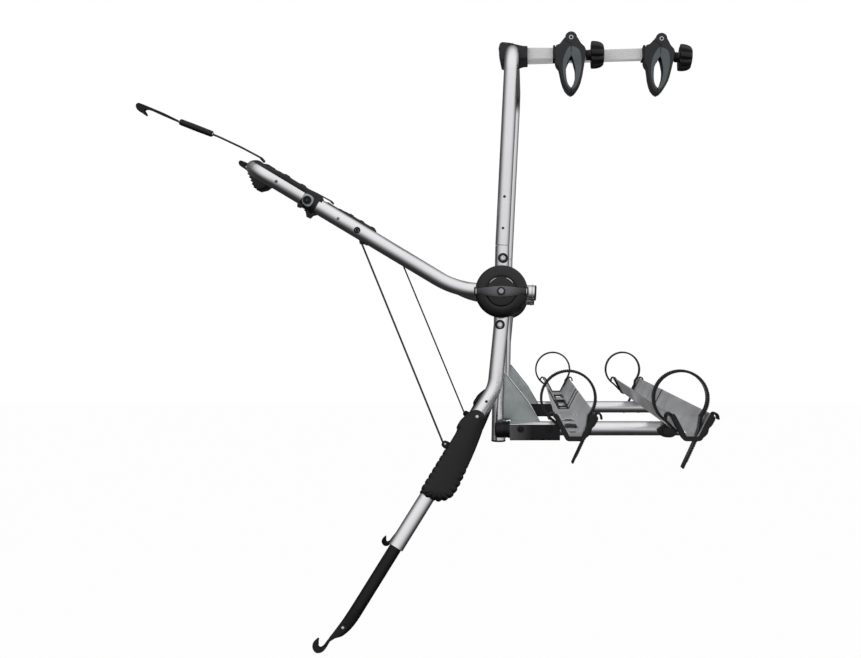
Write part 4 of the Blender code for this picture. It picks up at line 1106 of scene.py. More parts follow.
for label, side in SIDES.items():
    face = at_lengths(FOOT_FACE, np.linspace(0, run_length(FOOT_FACE), FOOT_STEPS * 6 + 1))
    saw = (np.arange(len(face)) / 6) % 1
    ray = face / np.linalg.norm(face, axis=1)[:, None]
    face = face + ray * (-0.0040 * saw + 0.0018)[:, None]
    outline = np.vstack([face, flowing(FOOT_BACK, 4, closed=False)])
    matrix = side_view(ARM_CORNER[0], side * FOOT_Y, ARM_CORNER[2])
    shells = [foot_skin(outline, ARM_RADIUS + 0.0005, FOOT_HALF, matrix)]
    piece("crossbar_foot_" + label, shells, rubber, "front_frame", ["end_foot_" + label])

# %% [markdown]
# ## Legs
#
# The outer leg turns on the hub stud by a keyhole-shaped lug. The inner leg slides in it: a black tube,
# pressed flat towards its end and riveted to the tongue of the bottom hook. Its rings are ellipses whose
# half height and half thickness change along the leg. The hook is a band that swells towards its bend. The
# long rubber shoe straddles the outer leg and swings on its rivet.

# %% Lugs
LUG_RADIUS = 0.026
LUG_SHANK = mm([(-13, -45), (-13, -79), (-10.5, -81), (8.5, -81), (11, -79), (11, -45)])
LUG_HOLE = 0.0064
for label, side in SIDES.items():
    hub = outward(side)
    angle = np.linspace(np.radians(-50), np.radians(230), 44)
    ring = np.stack([LUG_RADIUS * np.cos(angle), LUG_RADIUS * np.sin(angle)], axis=1)
    shells = [plate(np.vstack([ring, LUG_SHANK]), 0.2699, 0.2791, hub, 0.0010)]
    lug = piece("leg_lug_0_" + label, shells, anodised, "leg_" + label)
    drill(lug, [pin_along(*put([(0, 0, 0.26), (0, 0, 0.29)], hub), LUG_HOLE, 32)])
    shells = [block((-0.0110, -0.0775, 0.2760), (0.0090, -0.0540, 0.2880), hub)]
    piece("leg_lug_1_" + label, shells, anodised, "leg_" + label)

# %% Rivets and eyes
ROPE_EYE = mm([(-6, -13), (-7.5, -24), (-4.5, -31), (3, -32), (7.5, -26), (6, -13)])
for label, side in SIDES.items():
    rivet_place = leg_face(side, SHOE_RIVET)
    head = turned(ball_edge(0.0036, 0.0212, 0.0262, 0.0012), rivet_place, 28)
    back = turned(ball_edge(0.0036, -0.0262, -0.0212, 0.0012), rivet_place, 28)
    stem = turned([(0, -0.0214), (0.003, -0.0214), (0.003, 0.0214), (0, 0.0214)], rivet_place, 24)
    piece("shoe_rivet_" + label, [head, back, stem], bright_steel, "leg_" + label)
    eye = leg_face(side, SHOE_RIVET + EYE_AT)
    shells = [plate(flowing(ROPE_EYE), -0.0040, 0.0040, eye, 0.0014)]
    piece("rope_eye_" + label, shells, painted_steel, "leg_" + label)
    pin = turned(ball_edge(0.0022, 0.0038, 0.0052, 0.0008), moved(eye, x=0.0002, y=-0.0255), 20)
    piece("rope_pin_" + label, [pin], bright_steel, "leg_" + label)

# %% Inner legs
INNER_SECTIONS = np.array(mm([
    (-100, -12.5, 12.5, 12.5), (0, -12.5, 12.5, 12.5), (120, -12.5, 12.5, 12.5), (140, -12.6, 12.5, 11.5),
    (155, -12.8, 12.2, 9), (170, -13.5, 10.5, 6.6), (182, -14.4, 7.5, 5.4), (193, -15.5, 3, 4.7),
    (201.5, -16.4, -4.5, 4.3), (208, -17.1, -11, 3.8),
]))
for label, side in SIDES.items():
    foot = leg_place(side, LEG_LENGTH)
    sections = flowing(INNER_SECTIONS, 5, closed=False)
    angle = np.arange(48) * 2 * np.pi / 48
    middle = (sections[:, 1] + sections[:, 2]) / 2
    half = (sections[:, 2] - sections[:, 1]) / 2
    rings = np.empty((len(sections), 48, 3))
    rings[:, :, 0] = sections[:, :1]
    rings[:, :, 1] = middle[:, None] + half[:, None] * np.cos(angle)
    rings[:, :, 2] = sections[:, 3:] * np.sin(angle)
    body = "leg_inner_" + label
    piece("slider_" + label, [skin(put(rings, foot))], painted_steel, body, [body])

# %% Bottom hooks
HOOK_SHARE = (0, 0.28, 0.55, 0.82, 1)
HOOK_HALF = (0.0024, 0.0036, 0.0066, 0.0054, 0.0014)
HOOK_LINE = mm([
    (206, -13), (215, -14.6), (225.5, -15), (233.5, -18), (236.8, -24.3), (233.8, -30.4), (226.5, -33.2),
    (218.5, -33.8),
])
TONGUE = mm([
    (174, -10.5), (172, -4), (174.5, 2.5), (182, 2.2), (190, 0), (202, -6.2), (215, -12.5), (224, -13.5),
    (222.5, -17.5), (212, -17.2), (190, -14.5),
])
for label, side in SIDES.items():
    foot = leg_face(side, LEG_LENGTH)
    line = flowing(HOOK_LINE, 6, closed=False)
    half = np.interp(np.linspace(0, 1, len(line)), HOOK_SHARE, HOOK_HALF)
    shells = [band(line, -half, half, -0.0045, 0.0065, foot, 0.0009)]
    shells.append(plate(flowing(TONGUE), 0.0066, 0.0100, foot, 0.0008))
    body = "leg_inner_" + label
    piece("bottom_hook_" + label, shells, painted_steel, body, ["lower_hook_" + label])
    head = turned(ball_edge(0.0030, 0.0098, 0.0116, 0.0012), moved(foot, x=0.1790, y=-0.0048), 28)
    piece("hook_rivet_" + label, [head], bright_steel, body)

# %% Shoes on the legs
SHOE = mm([
    (-14, -6), (-14.8, 4), (-11, 12.5), (0, 19), (24, 26.2), (67, 34), (108, 39), (144, 42.5), (162, 40.5),
    (176, 30), (185.5, 13), (187.5, -5), (185.5, -15), (178, -18), (145, -18.5), (90, -19), (43, -19.7),
    (34.5, -24), (21, -24.7), (0, -18.5), (-8, -14),
])
SHOE_SPINE = np.array(mm([(0, 0), (60, 4), (120, 10), (165, 10)]))
SHOE_BACK = 0.0158
SHOE_FACE = 0.0163
SHOE_WEB = 0.0168
SHOE_DOME = 0.0092
SHOE_TOOTH = 0.0135


def toothed_shoe(outline):
    """The shoe's outline with scallops on its two lower edges: the points move outwards by |sin(pi run /
    pitch)|, faded in between 70 and 90 mm on the car's side, and between 90 and 110 mm on the other."""
    curve = flowing(outline)
    loop = np.vstack([curve, curve[:1]])
    spots = at_lengths(loop, np.linspace(0, run_length(loop), 480, endpoint=False))
    into = unit(np.roll(spots, -1, axis=0) - np.roll(spots, 1, axis=0))
    out = np.stack([into[:, 1], -into[:, 0]], axis=1) * np.sign(area(spots))
    run = np.cumsum(np.linalg.norm(spots - np.roll(spots, 1, axis=0), axis=1))
    scallop = np.abs(np.sin(np.pi * run / SHOE_TOOTH)) ** 0.7
    left = np.clip((spots[:, 0] - 0.070) / 0.02, 0, 1)
    right = np.clip((spots[:, 0] - 0.090) / 0.02, 0, 1)
    fade = np.where(spots[:, 1] < 0, left, right)
    return spots + out * (fade * (0.0036 * scallop - 0.0022))[:, None]


def nearest_on_spine(spots):
    """The nearest point of the shoe's spine to each point."""
    line = at_lengths(SHOE_SPINE, np.linspace(0, run_length(SHOE_SPINE), 200))
    far = np.linalg.norm(spots[:, None] - line[None], axis=2)
    return line[far.argmin(axis=1)]


def cheek(edge, way):
    """A domed cheek: a ring shrinks towards the spine by its share t and rises by dome * (1 - (1 - t) ** 2)
    ** (1/2). Two flat rings at the back come first."""
    spine = nearest_on_spine(edge)
    flats = [spine * 0.9 + edge * 0.1, edge]
    rises = [SHOE_BACK, SHOE_BACK]
    for share in (0.0, 0.02, 0.05, 0.09, 0.14, 0.20, 0.28, 0.38, 0.50, 0.64, 0.80, 0.92):
        flats.append(edge * (1 - share) + spine * share)
        rises.append(SHOE_FACE + SHOE_DOME * (1 - (1 - share) ** 2) ** 0.5)
    rings = [np.column_stack([flat, np.full(len(edge), way * rise)]) for flat, rise in zip(flats, rises)]
    return np.array(rings)


for label, side in SIDES.items():
    matrix = leg_face(side, SHOE_RIVET)
    edge = toothed_shoe(SHOE)
    shells = [skin(put(cheek(edge, way), matrix)) for way in (1, -1)]
    web = edge[(edge[:, 1] > SHOE_WEB) & (edge[:, 0] > 0.020)]
    web = np.vstack([web, [(web[-1, 0], SHOE_WEB), (web[0, 0], SHOE_WEB)]])
    shells.append(plate(web, -0.0170, 0.0170, matrix, 0.0003, 1))
    body = "lower_pad_" + label
    shoe = piece("rubber_shoe_" + label, shells, rubber, body, [body], sharp=np.radians(50))
    print(label, "shoe faces", len(shoe.data.polygons))

# %% [markdown]
# ## Upper hooks
#
# The adjusting sleeve is a turned barrel with a steel ferrule at each end. The hook at the rope's end is
# bent from flat bar, and the CAD solid already is that outline, so it stays and only takes its finish.

# %% Sleeves
SLEEVE_START = (-0.5777, HOOK_ROPE_Y, 0.3138)
SLEEVE_END = (-0.6468, HOOK_ROPE_Y, 0.3405)
SLEEVE_BORE = ROPE_RADIUS + 0.0002
FERRULE = [(SLEEVE_BORE, 0), (0.0034, 0), (0.0036, 0.0010), (0.0034, 0.0024), (SLEEVE_BORE, 0.0024)]
for label, side in SIDES.items():
    body = "upper_hook_" + label
    start, end = on_side(side, SLEEVE_START), on_side(side, SLEEVE_END)
    length = float(np.linalg.norm(end - start))
    barrel = axis_place(start, end - start)
    h = np.linspace(0.0030, length - 0.0036, 24)
    radius = 0.0062 + 0.0004 * np.sin(np.pi * h / length)
    profile = [(SLEEVE_BORE, 0.0020), (0.0048, 0.0020), (0.0058, 0.0028), *zip(radius, h)]
    profile += [(0.0056, length - 0.0030), (SLEEVE_BORE, length - 0.0030)]
    shells = [spun_ring(profile, barrel, 40)]
    piece("rope_sleeve_" + label, shells, moulded, body, ["cable_sleeve_" + label])
    ferrules = [spun_ring(np.array(FERRULE) + (0, low), barrel, 32) for low in (0.0, length - 0.0032)]
    piece("rope_ferrule_" + label, ferrules, bright_steel, body)

# %% [markdown]
# ## Gussets, channels and caps
#
# The gusset is a pressed fan of sheet beside the post. Its slanted edge is folded outwards, and that fold
# is the one bright line in the photograph. The channel under the bar is a band of sheet round three sides,
# with its corners rounded first. The caps are turned, with the ribs that let them bend as they are pressed
# in.
# The fold's bright line is a painted highlight, and the channel's near-black colour is painted shade, paler
# near the post.

# %% Gussets and channels
GUSSET_Y = 0.257
GUSSET_HALF = 0.00125
SLANT = mm([(3.5, -170), (12.1, -175.4), (32.7, -201.2), (55.1, -229.2), (73.4, -260.4), (85.2, -281.2)])
FAN_FOOT = mm([(90, -300), (17.6, -300), (17.6, -270), (2.2, -270)])
CHANNEL_MIDDLE = 0.06905
CHANNEL_HALF = 0.05245
CHANNEL_PATH = mm([(257, -276.8), (257, -308.6), (291.8, -308.6), (291.8, -276.8)])
for label, side in SIDES.items():
    fan = outward(side)
    shells = [plate(SLANT + FAN_FOOT, GUSSET_Y - GUSSET_HALF, GUSSET_Y + GUSSET_HALF, fan, 0.0006)]
    piece("gusset_fan_" + label, shells, zinc_plate, "rack_body", ["gusset_" + label])
    # Painted highlight: the fold is the fan's own sheet, but it takes the pale highlight finish so that it
    # shows as a bright line.
    slant = flowing(SLANT, 6, closed=False)
    bead = band(slant[2:], -0.0023, -0.0001, GUSSET_Y - GUSSET_HALF, GUSSET_Y + 0.0065, fan, 0.0007)
    piece("gusset_fold_" + label, [bead], pale_highlight_metal, "rack_body")
    # Painted shade: the channel takes the near-black channel finish, painted paler near the post.
    line = rounded(CHANNEL_PATH, (0.004, 0.004), 15.0)
    matrix = place((CHANNEL_MIDDLE, 0, 0), (0, side, 0), (0, 0, 1))
    channel = band(line, -0.00155, 0.00155, -CHANNEL_HALF, CHANNEL_HALF, matrix, 0.0006)
    piece("bar_channel_" + label, [channel], dark_channel, "rack_body")

# %% Bar caps
FRONT_CAP = mm([
    (0, -31.8), (11.8, -31.8), (14, -30.8), (17.2, -28.8), (17.6, -24), (17.6, -12.8), (16.8, -12.2),
    (16.8, -10.8), (17.8, -10.2), (17.8, -7.6), (16.9, -7), (16.9, -5.6), (18, -5), (18, -0.3),
    (12.7, -0.3), (12.7, 14), (0, 14),
])
for label, side in SIDES.items():
    front = axis_place((BAR_X[0], side * BAR_Y, BAR_Z - 0.002), (1, 0, 0))
    shells = [turned(FRONT_CAP, front, 56)]
    piece("front_cap_" + label, shells, moulded, "rack_body", ["bar_cap_" + label])
    back = axis_place((BAR_X[1], side * BAR_Y, BAR_Z), (1, 0, 0))
    piece("rear_cap_" + label, [plug(back, BAR_RADIUS, BAR_BORE)], moulded, "rack_body")

# %% [markdown]
# ## Bike arms
#
# Two arms turn on the crossbar, a short and a long one. A moulded connector wraps the crossbar, an extruded
# bar with fine grooves runs to the jaws, and the jaws meet on a pin. The jaw's cradle shows as a lighter
# grey face along the opening, so it is a piece of its own: a thin face between the opening's edge and the
# line of a lobe. The knob's flutes are a wave in its radius: r (1 - depth * ((1 + cos 9a) / 2) ** 3).

# %% Connectors and bars
BIKE_ARMS = {
    "short": {"y": -0.178, "tilt": 0.0, "pin": (0.1487, 0.5569), "turn": 0.0, "lift": 0.0},
    "long": {"y": -0.131, "tilt": 2.2, "pin": (0.3517, 0.5668), "turn": -4.7, "lift": 0.002},
}
CONNECTOR = mm([
    (-30.2, 9.4), (-27.5, 19.5), (-22.5, 23.2), (-5.2, 21.5), (11.5, 17.2), (23, 14.7), (33, 14.2),
    (33, -12.7), (23, -13), (10, -17), (-23, -17.5), (-26.2, -15),
])
CONNECTOR_BORE = 0.0157
GROOVES = 5
GROOVE_DEPTH = 0.0005
BAR_HEIGHT = 0.0246
BAR_WIDTH = 0.019
BAR_RISE = 0.0011
BAR_FROM = 0.0188
BAR_PLATE = (-0.0390, -0.0336)


def arm_view(arm):
    """The bike arm's frame, at its place on the crossbar."""
    return side_view(CROSSBAR[0], arm["y"], CROSSBAR[1], arm["tilt"])


def jaw_view(arm):
    """The jaws' frame, on their pin."""
    return side_view(arm["pin"][0], arm["y"], arm["pin"][1], arm["turn"])


def bar_section(height, width, radius=0.0022):
    """(y, z) points round an extruded bar. Its two tall faces dip by depth * max(0, cos(2 pi g y / height))
    ** 6, which makes g grooves."""
    y = np.linspace(-height / 2 + radius, height / 2 - radius, 44)
    wave = np.maximum(0, np.cos(2 * np.pi * GROOVES * y / height)) ** 6
    face = np.stack([y, width / 2 - GROOVE_DEPTH * wave], axis=1)
    turn = np.linspace(0, np.pi / 2, 5)[1:-1]
    top, out = height / 2, width / 2 - radius
    corner = np.stack([top - radius + radius * np.sin(turn), out + radius * np.cos(turn)], axis=1)
    upper = [face, corner, [(top, out), (top, -out)], corner[::-1] * (1, -1)]
    lower = [face[::-1] * (1, -1), corner * (-1, -1), [(-top, -out), (-top, out)], corner[::-1] * (-1, 1)]
    return np.vstack(upper + lower)


for label, arm in BIKE_ARMS.items():
    view = arm_view(arm)
    body = "bike_arm_" + label
    wrap = plate(CONNECTOR, -0.0200, 0.0200, view, 0.0024, 4)
    nodes = ["arm_connector_" + label]
    holder = piece("arm_wrap_" + label, [wrap], jaw_plastic, body, nodes)
    ends = put([(0, 0, -0.04), (0, 0, 0.04)], view)
    drill(holder, [pin_along(*ends, CONNECTOR_BORE, 56)])
    seam = [block((-0.0005, 0.0170, 0.0185), (0.0005, 0.0212, 0.0203), view, 0.0002)]
    piece("arm_seam_" + label, seam, painted_steel, body)
    end = (np.linalg.inv(view) @ jaw_view(arm) @ np.array([*BAR_PLATE, 0, 1]))[0] - 0.0006
    section = bar_section(BAR_HEIGHT, BAR_WIDTH)
    spots = np.linspace(BAR_FROM, end, 6)
    rings = np.stack([np.column_stack([np.full(len(section), x), section]) for x in spots])
    rings[:, :, 1] += (BAR_RISE + arm["lift"] * (1 - (spots - BAR_FROM) / (end - BAR_FROM)))[:, None]
    shells = [skin(put(rings, view))]
    piece("groove_bar_" + label, shells, pale_extrusion, body, ["bike_bar_" + label])

# %% Outlines of the jaws
FIXED_JAW = mm([
    (-0.15, 13), (-9, 7.5), (-16.5, -3), (-25, -13.5), (-32.2, -16.5), (-35, -22), (-35.2, -42),
    (-34.5, -52), (-32, -58.5), (-27.2, -64), (-24.5, -76), (-22.1, -87.8), (-18, -101), (-13.3, -111),
    (-7, -118), (-0.15, -121.8), (-0.15, -109.3), (-4.5, -105), (-8, -98), (-10, -89), (-10.9, -80.3),
    (-11.2, -72.7), (-10.9, -65.2), (-8.8, -57), (-5, -48), (-0.15, -38.6),
])
MOVING_JAW = mm([
    (0.15, 13), (0.15, -38.6), (3.5, -45.5), (6.5, -56), (8.8, -65), (9.5, -74.5), (9, -84), (7.2, -93),
    (4.5, -102), (0.15, -109.3), (0.15, -121.8), (7, -118), (13, -110.4), (18, -102), (22, -92.8),
    (25, -81), (26.8, -70.2), (28.2, -62), (29.1, -55.1), (31.8, -40), (32.6, -27), (29.5, -19.5),
    (21.5, -12), (16.5, -3.5), (8.5, 8),
])
JAW_HALF = 0.020
KNUCKLE = 0.0130
KNUCKLE_HALF = 0.0095
KNUCKLE_ROOM = 0.0006
STUD_Z = -0.0336
NECK = 0.034
FLUTES = 9
FIXED_LOBE = mm([
    (-2.2, -113.5), (-8.5, -106), (-14.5, -93), (-18, -72), (-17.2, -48), (-10, -29), (-3, -19.5),
])
MOVING_LOBE = mm([
    (3, -19.5), (12, -22.5), (19, -30), (22.5, -48), (21.5, -70), (16.5, -93), (10, -107), (2.2, -113.5),
])
cradle = finish("teal_grey_cradle", (0.080, 0.098, 0.103), (0.125, 0.145, 0.152), (0.34, 0.46), specular=0.4)


# %% Pins, cradles and flutes
def across_pin(arm, low, high, radius, steps=40):
    """A round pin along the axis that the jaws turn on."""
    return pin_along(*put([(0, 0, low), (0, 0, high)], jaw_view(arm)), radius, steps)


def cradle_faces(edge, lobe, matrix):
    """On each side of a jaw, a thin face between the opening's edge and the line of the lobe."""
    outline = np.vstack([flowing(edge, 5, closed=False), flowing(lobe, 5, closed=False)])
    low, high = JAW_HALF - 0.0012, JAW_HALF + 0.0008
    return [plate(outline, low, high, matrix, 0.0004), plate(outline, -high, -low, matrix, 0.0004)]


def fluted(profile, matrix, flutes, depth, steps=144):
    """A turned profile of (radius, height, share of the flutes' depth), whose radius dips into flutes:
    r (1 - share depth ((1 + cos(n a)) / 2) ** 3)."""
    profile = np.asarray(profile, float)
    angle = np.arange(steps) * 2 * np.pi / steps
    dip = ((1 + np.cos(flutes * angle)) / 2) ** 3
    radius = profile[:, :1] * (1 - profile[:, 2:] * depth * dip[None])
    rings = np.empty((len(profile), steps, 3))
    rings[:, :, 0] = radius * np.cos(angle)
    rings[:, :, 1] = radius * np.sin(angle)
    rings[:, :, 2] = profile[:, 1:2]
    return skin(put(rings, matrix))


# %% Fixed jaws
JAW_RING = np.array(mm([(2.7, 20.3), (5, 20.3), (4.7, 21.3), (3, 21.5)]))
for label, arm in BIKE_ARMS.items():
    jaw = jaw_view(arm)
    body = "bike_arm_" + label
    shells = [plate(FIXED_JAW, -JAW_HALF, JAW_HALF, jaw, 0.0016, 4)]
    nodes = ["fixed_jaw_" + label]
    fixed = piece("jaw_fixed_" + label, shells, jaw_plastic, body, nodes)
    for way in (-1, 1):
        drill(fixed, [across_pin(arm, way * KNUCKLE_HALF, way * 0.024, KNUCKLE + KNUCKLE_ROOM)])
    slot = block((-0.0135, STUD_Z - 0.0085, -0.0048), (0.003, STUD_Z + 0.0050, 0.0048), jaw, 0.0001)
    drill(fixed, [slot])
    knuckle = turned(ball_edge(KNUCKLE, -KNUCKLE_HALF, KNUCKLE_HALF, 0.0006), jaw, 48)
    piece("jaw_knuckle_" + label, [knuckle], jaw_plastic, body)
    collar = block((-0.0392, -0.0474, -JAW_HALF), (-0.0345, -0.0172, JAW_HALF), jaw, 0.0008)
    piece("jaw_flange_" + label, [collar], moulded, body)
    pin = turned(ball_edge(0.0030, -0.0210, 0.0210, 0.0006), jaw, 36)
    piece("jaw_pin_" + label, [pin], painted_steel, body)
    rings = [spun_ring(JAW_RING, jaw, 40), spun_ring(JAW_RING * (1, -1), jaw, 40)]
    piece("jaw_ring_" + label, rings, bright_steel, body)
    edge = [spot for spot in FIXED_JAW if spot[0] > -0.0115 and -0.1100 < spot[1] < -0.0380]
    edge = [(-0.0006, -0.0195), (-0.0006, -0.0300)] + edge[::-1]
    piece("cradle_fixed_" + label, cradle_faces(edge, FIXED_LOBE, jaw), cradle, body)

# %% Moving jaws
PIN_HOLE = 0.0039
STUD_ROOM = 0.0045
for label, arm in BIKE_ARMS.items():
    jaw = jaw_view(arm)
    body = "moving_jaw_" + label
    shells = [plate(MOVING_JAW, -JAW_HALF, JAW_HALF, jaw, 0.0016, 4)]
    moving = piece("jaw_moving_" + label, shells, jaw_plastic, body, [body])
    drill(moving, [across_pin(arm, -KNUCKLE_HALF - 0.0003, KNUCKLE_HALF + 0.0003, KNUCKLE + KNUCKLE_ROOM)])
    stud_line = put([(-0.005, STUD_Z, 0), (0.06, STUD_Z, 0)], jaw)
    drill(moving, [pin_along(*stud_line, STUD_ROOM, 32)])
    drill(moving, [across_pin(arm, -0.03, 0.03, PIN_HOLE, 32)])
    knuckles = []
    for way in (-1, 1):
        low, high = sorted((way * (KNUCKLE_HALF + 0.0003), way * (JAW_HALF + 0.0002)))
        profile = [(PIN_HOLE, low), (KNUCKLE - 0.0006, low), (KNUCKLE, low + 0.0006)]
        profile += [(radius, low + high - height) for radius, height in profile[::-1]]
        knuckles.append(spun_ring(profile, jaw, 48))
    piece("moving_knuckles_" + label, knuckles, jaw_plastic, body)
    edge = [spot for spot in MOVING_JAW if spot[0] < 0.0096 and -0.1100 < spot[1] < -0.0380]
    edge = edge[::-1] + [(0.0006, -0.0300), (0.0006, -0.0195)]
    piece("cradle_moving_" + label, cradle_faces(edge, MOVING_LOBE, jaw), cradle, body)

# %% Jaw knobs
KNOB_PROFILE = [
    (0.0, -0.0003, 0), (0.0100, -0.0003, 0), (0.0115, 0.0008, 0), (0.0110, 0.0026, 0), (0.0115, 0.0044, 0),
    (0.0110, 0.0062, 0), (0.0116, 0.0080, 0), (0.0120, 0.0098, 0), (0.0270, 0.0100, 0.6), (0.0292, 0.0106, 1),
    (0.0300, 0.0125, 1), (0.0300, 0.0170, 1), (0.0296, 0.0220, 1), (0.0286, 0.0270, 1), (0.0270, 0.0315, 1),
    (0.0246, 0.0350, 0.9), (0.0215, 0.0375, 0.7), (0.0150, 0.0388, 0.3), (0.0, 0.0391, 0),
]
THREAD_PITCH = 0.0010
for label, arm in BIKE_ARMS.items():
    jaw = jaw_view(arm)
    body = "clamp_knob_" + label
    knob = axis_place(put([(NECK, STUD_Z, 0)], jaw)[0], jaw[:3, 0])
    shells = [fluted(KNOB_PROFILE, knob, FLUTES, 0.16)]
    h = np.arange(-0.0425, -0.0010, THREAD_PITCH / 2)
    thread = np.stack([0.0037 + 0.0003 * np.cos(2 * np.pi * h / THREAD_PITCH), h], axis=1)
    shells.append(turned([(0, h[0]), *thread, (0, h[-1])], knob, 28))
    piece("fluted_knob_" + label, shells, moulded, body, [body])
print("jaw pieces", sum("jaw" in name for name in made))

# %% [markdown]
# ## Wheel trays
#
# A tray is folded from brushed sheet: a flat floor, two slanting walls and a small rolled lip. Each half
# has its slots and small windows. In the inner tray, two long windows are framed by rails that run past
# them, and dark bands lie along the lines where the halves are joined. Each half carries a toothed strap,
# which goes up through a slot, round the wheel and down again. The strap is a band whose thickness changes
# along its run, a tooth every 3.4 mm. The end caps are moulded and hook over the lips, each with the
# outline of its ratchet. A riveted saddle holds each half to its bar from above, and a dark clamp block
# grips the bar under the outer tray.

# %% Measures of the trays
TRAY_X = {"1": 0.1386, "2": 0.3466}
TRAY_LENGTH = 0.61
TRAY_GAP = 0.00015
TRAY_FLOOR = -0.2708
TRAY_SHEET = 0.002
TRAY_PATH = mm([(-36.5, 43), (-33, 39.5), (-13, 1), (13, 1), (33, 39.5), (36.5, 43)])
STRAP_Y = 0.572
STRAP_WIDTH = 0.025
STRAP_THICKNESS = 0.004
STRAP_PITCH = 0.0034
STRAP_CENTRE = np.array([-0.0111, 0.0702])
STRAP_RADIUS = 0.049
STRAP_SHIFT = {"1": 0.0, "2": -0.0045}
STRAP_END = {"1": (-0.0040, -0.0478), "2": (-0.0082, -0.0570)}
WINDOWS = (0.34, 0.42, 0.50)
LONG_WINDOWS = ((0.060, 0.190), (0.215, 0.255))
RAILS = (0.004, 0.430)
JOINT_Y = {"1": (0.003, 0.086), "2": (0.061,)}
DARK_PLATE_Y = -0.412


def tray_view(tray, y):
    """A tray's frame: x across it, y up and z at the camera, on its floor."""
    return side_view(TRAY_X[tray], y, TRAY_FLOOR)


def strap_line(end):
    """The strap's middle: anchor, an arc of radius r round its centre from 237 to -42 degrees, and the
    tail, which ends at the given point."""
    angle = np.radians(np.linspace(237, -42, 90))
    arc = STRAP_CENTRE + STRAP_RADIUS * np.stack([np.cos(angle), np.sin(angle)], axis=1)
    tail = rounded([arc[-1], (0.0225, 0.0160), (0.0155, -0.0058), end], (0.02, 0.03), 3.0)
    return np.vstack([[(STRAP_CENTRE[0] - 0.0080, 0.0100)], arc, tail[1:]])


# %% Tray halves
folded = rounded(TRAY_PATH, (0.0015, 0.004, 0.004, 0.0015), 12.0)
halves = {}
for tray in TRAY_X:
    for label, side in SIDES.items():
        matrix = tray_view(tray, side * (TRAY_GAP + TRAY_LENGTH) / 2)
        half = (TRAY_LENGTH - TRAY_GAP) / 2
        shells = [band(folded, -TRAY_SHEET / 2, TRAY_SHEET / 2, -half, half, matrix, 0.0003)]
        name = f"{tray}_{label}"
        body = "wheel_tray_" + tray
        sheet = piece("trough_" + name, shells, tray_sheet, body, ["tray_" + name])
        for y in WINDOWS:
            window = tray_view(tray, side * y)
            drill(sheet, [block((-0.006, -0.006, -0.022), (0.006, 0.008, 0.022), window, 0.0015)])
        room = moved(tray_view(tray, side * STRAP_Y), x=STRAP_SHIFT[tray])
        drill(sheet, [block((-0.0235, -0.004, -0.0135), (-0.0150, 0.016, 0.0135), room, 0.0004)])
        drill(sheet, [block((0.0135, -0.004, -0.0135), (0.0245, 0.022, 0.0135), room, 0.0004)])
        halves[name] = sheet

# %% Long windows and their rails
frames = []
for low, high in LONG_WINDOWS:
    window = tray_view("1", (low + high) / 2)
    reach = (high - low) / 2
    drill(halves["1_right"], [block((-0.0078, -0.006, -reach), (0.0078, 0.008, reach), window, 0.0010)])
    for way in (-1, 1):
        first, last = sorted((way * reach, way * (reach + 0.0035)))
        frames.append(block((-0.0104, 0.0022, first), (0.0104, 0.0052, last), window, 0.0006))
rail = tray_view("1", (RAILS[0] + RAILS[1]) / 2)
reach = (RAILS[1] - RAILS[0]) / 2
for way in (-1, 1):
    first, last = sorted((way * 0.0084, way * 0.0118))
    frames.append(block((first, 0.0021, -reach), (last, 0.0052, reach), rail, 0.0006))
frames.append(block((-0.0118, 0.0021, -0.004), (0.0118, 0.0062, 0.004), tray_view("1", RAILS[1]), 0.0006))
piece("window_frames", frames, moulded, "wheel_tray_1")

# %% Saddles and their rivets
SADDLE_PATH = mm([(-18.5, 15), (-12.2, 3.5), (-5, 7.2), (5, 7.2), (12.2, 3.5), (18.5, 15)])
RIVET_HEAD = mm([(0, 0), (2.4, 0), (2.3, 0.8), (1.4, 1.4), (0, 1.6)])
saddle_line = rounded(SADDLE_PATH, (0.002, 0.003, 0.003, 0.002), 15.0)
for tray in TRAY_X:
    for label, side in SIDES.items():
        body = "wheel_tray_" + tray
        saddle = tray_view(tray, side * BAR_Y)
        shells = [band(saddle_line, -0.0008, 0.0008, -0.018, 0.018, saddle, 0.0003)]
        piece(f"saddle_{tray}_{label}", shells, tray_sheet, body)
        spots = put([(x, 0.0020, z) for x in (-0.0098, 0.0098) for z in (-0.0125, 0.0125)], saddle)
        heads = [turned(RIVET_HEAD, place(spot + (0, 0, 0.0012), (1, 0, 0), (0, 1, 0)), 16) for spot in spots]
        piece(f"saddle_rivets_{tray}_{label}", heads, bright_steel, body)

# %% A dark plate over a window, and the joints of the tray halves
# A dark moulded plate over the window of the inner tray's left half.
shells = [block((-0.0112, 0.0021, -0.028), (0.0112, 0.0046, 0.028), tray_view("1", DARK_PLATE_Y), 0.0010)]
piece("window_dark_plate", shells, moulded, "wheel_tray_1")
# Dark bands across the trays along the lines where their halves are joined.
for tray, edges in JOINT_Y.items():
    low, high = TRAY_SHEET / 2 - 0.0002, TRAY_SHEET / 2 + 0.0017
    dark_seam_bands = [band(folded, low, high, -0.0014, 0.0014, tray_view(tray, y), 0.0002) for y in edges]
    piece("tray_joint_" + tray, dark_seam_bands, painted_steel, "wheel_tray_" + tray)

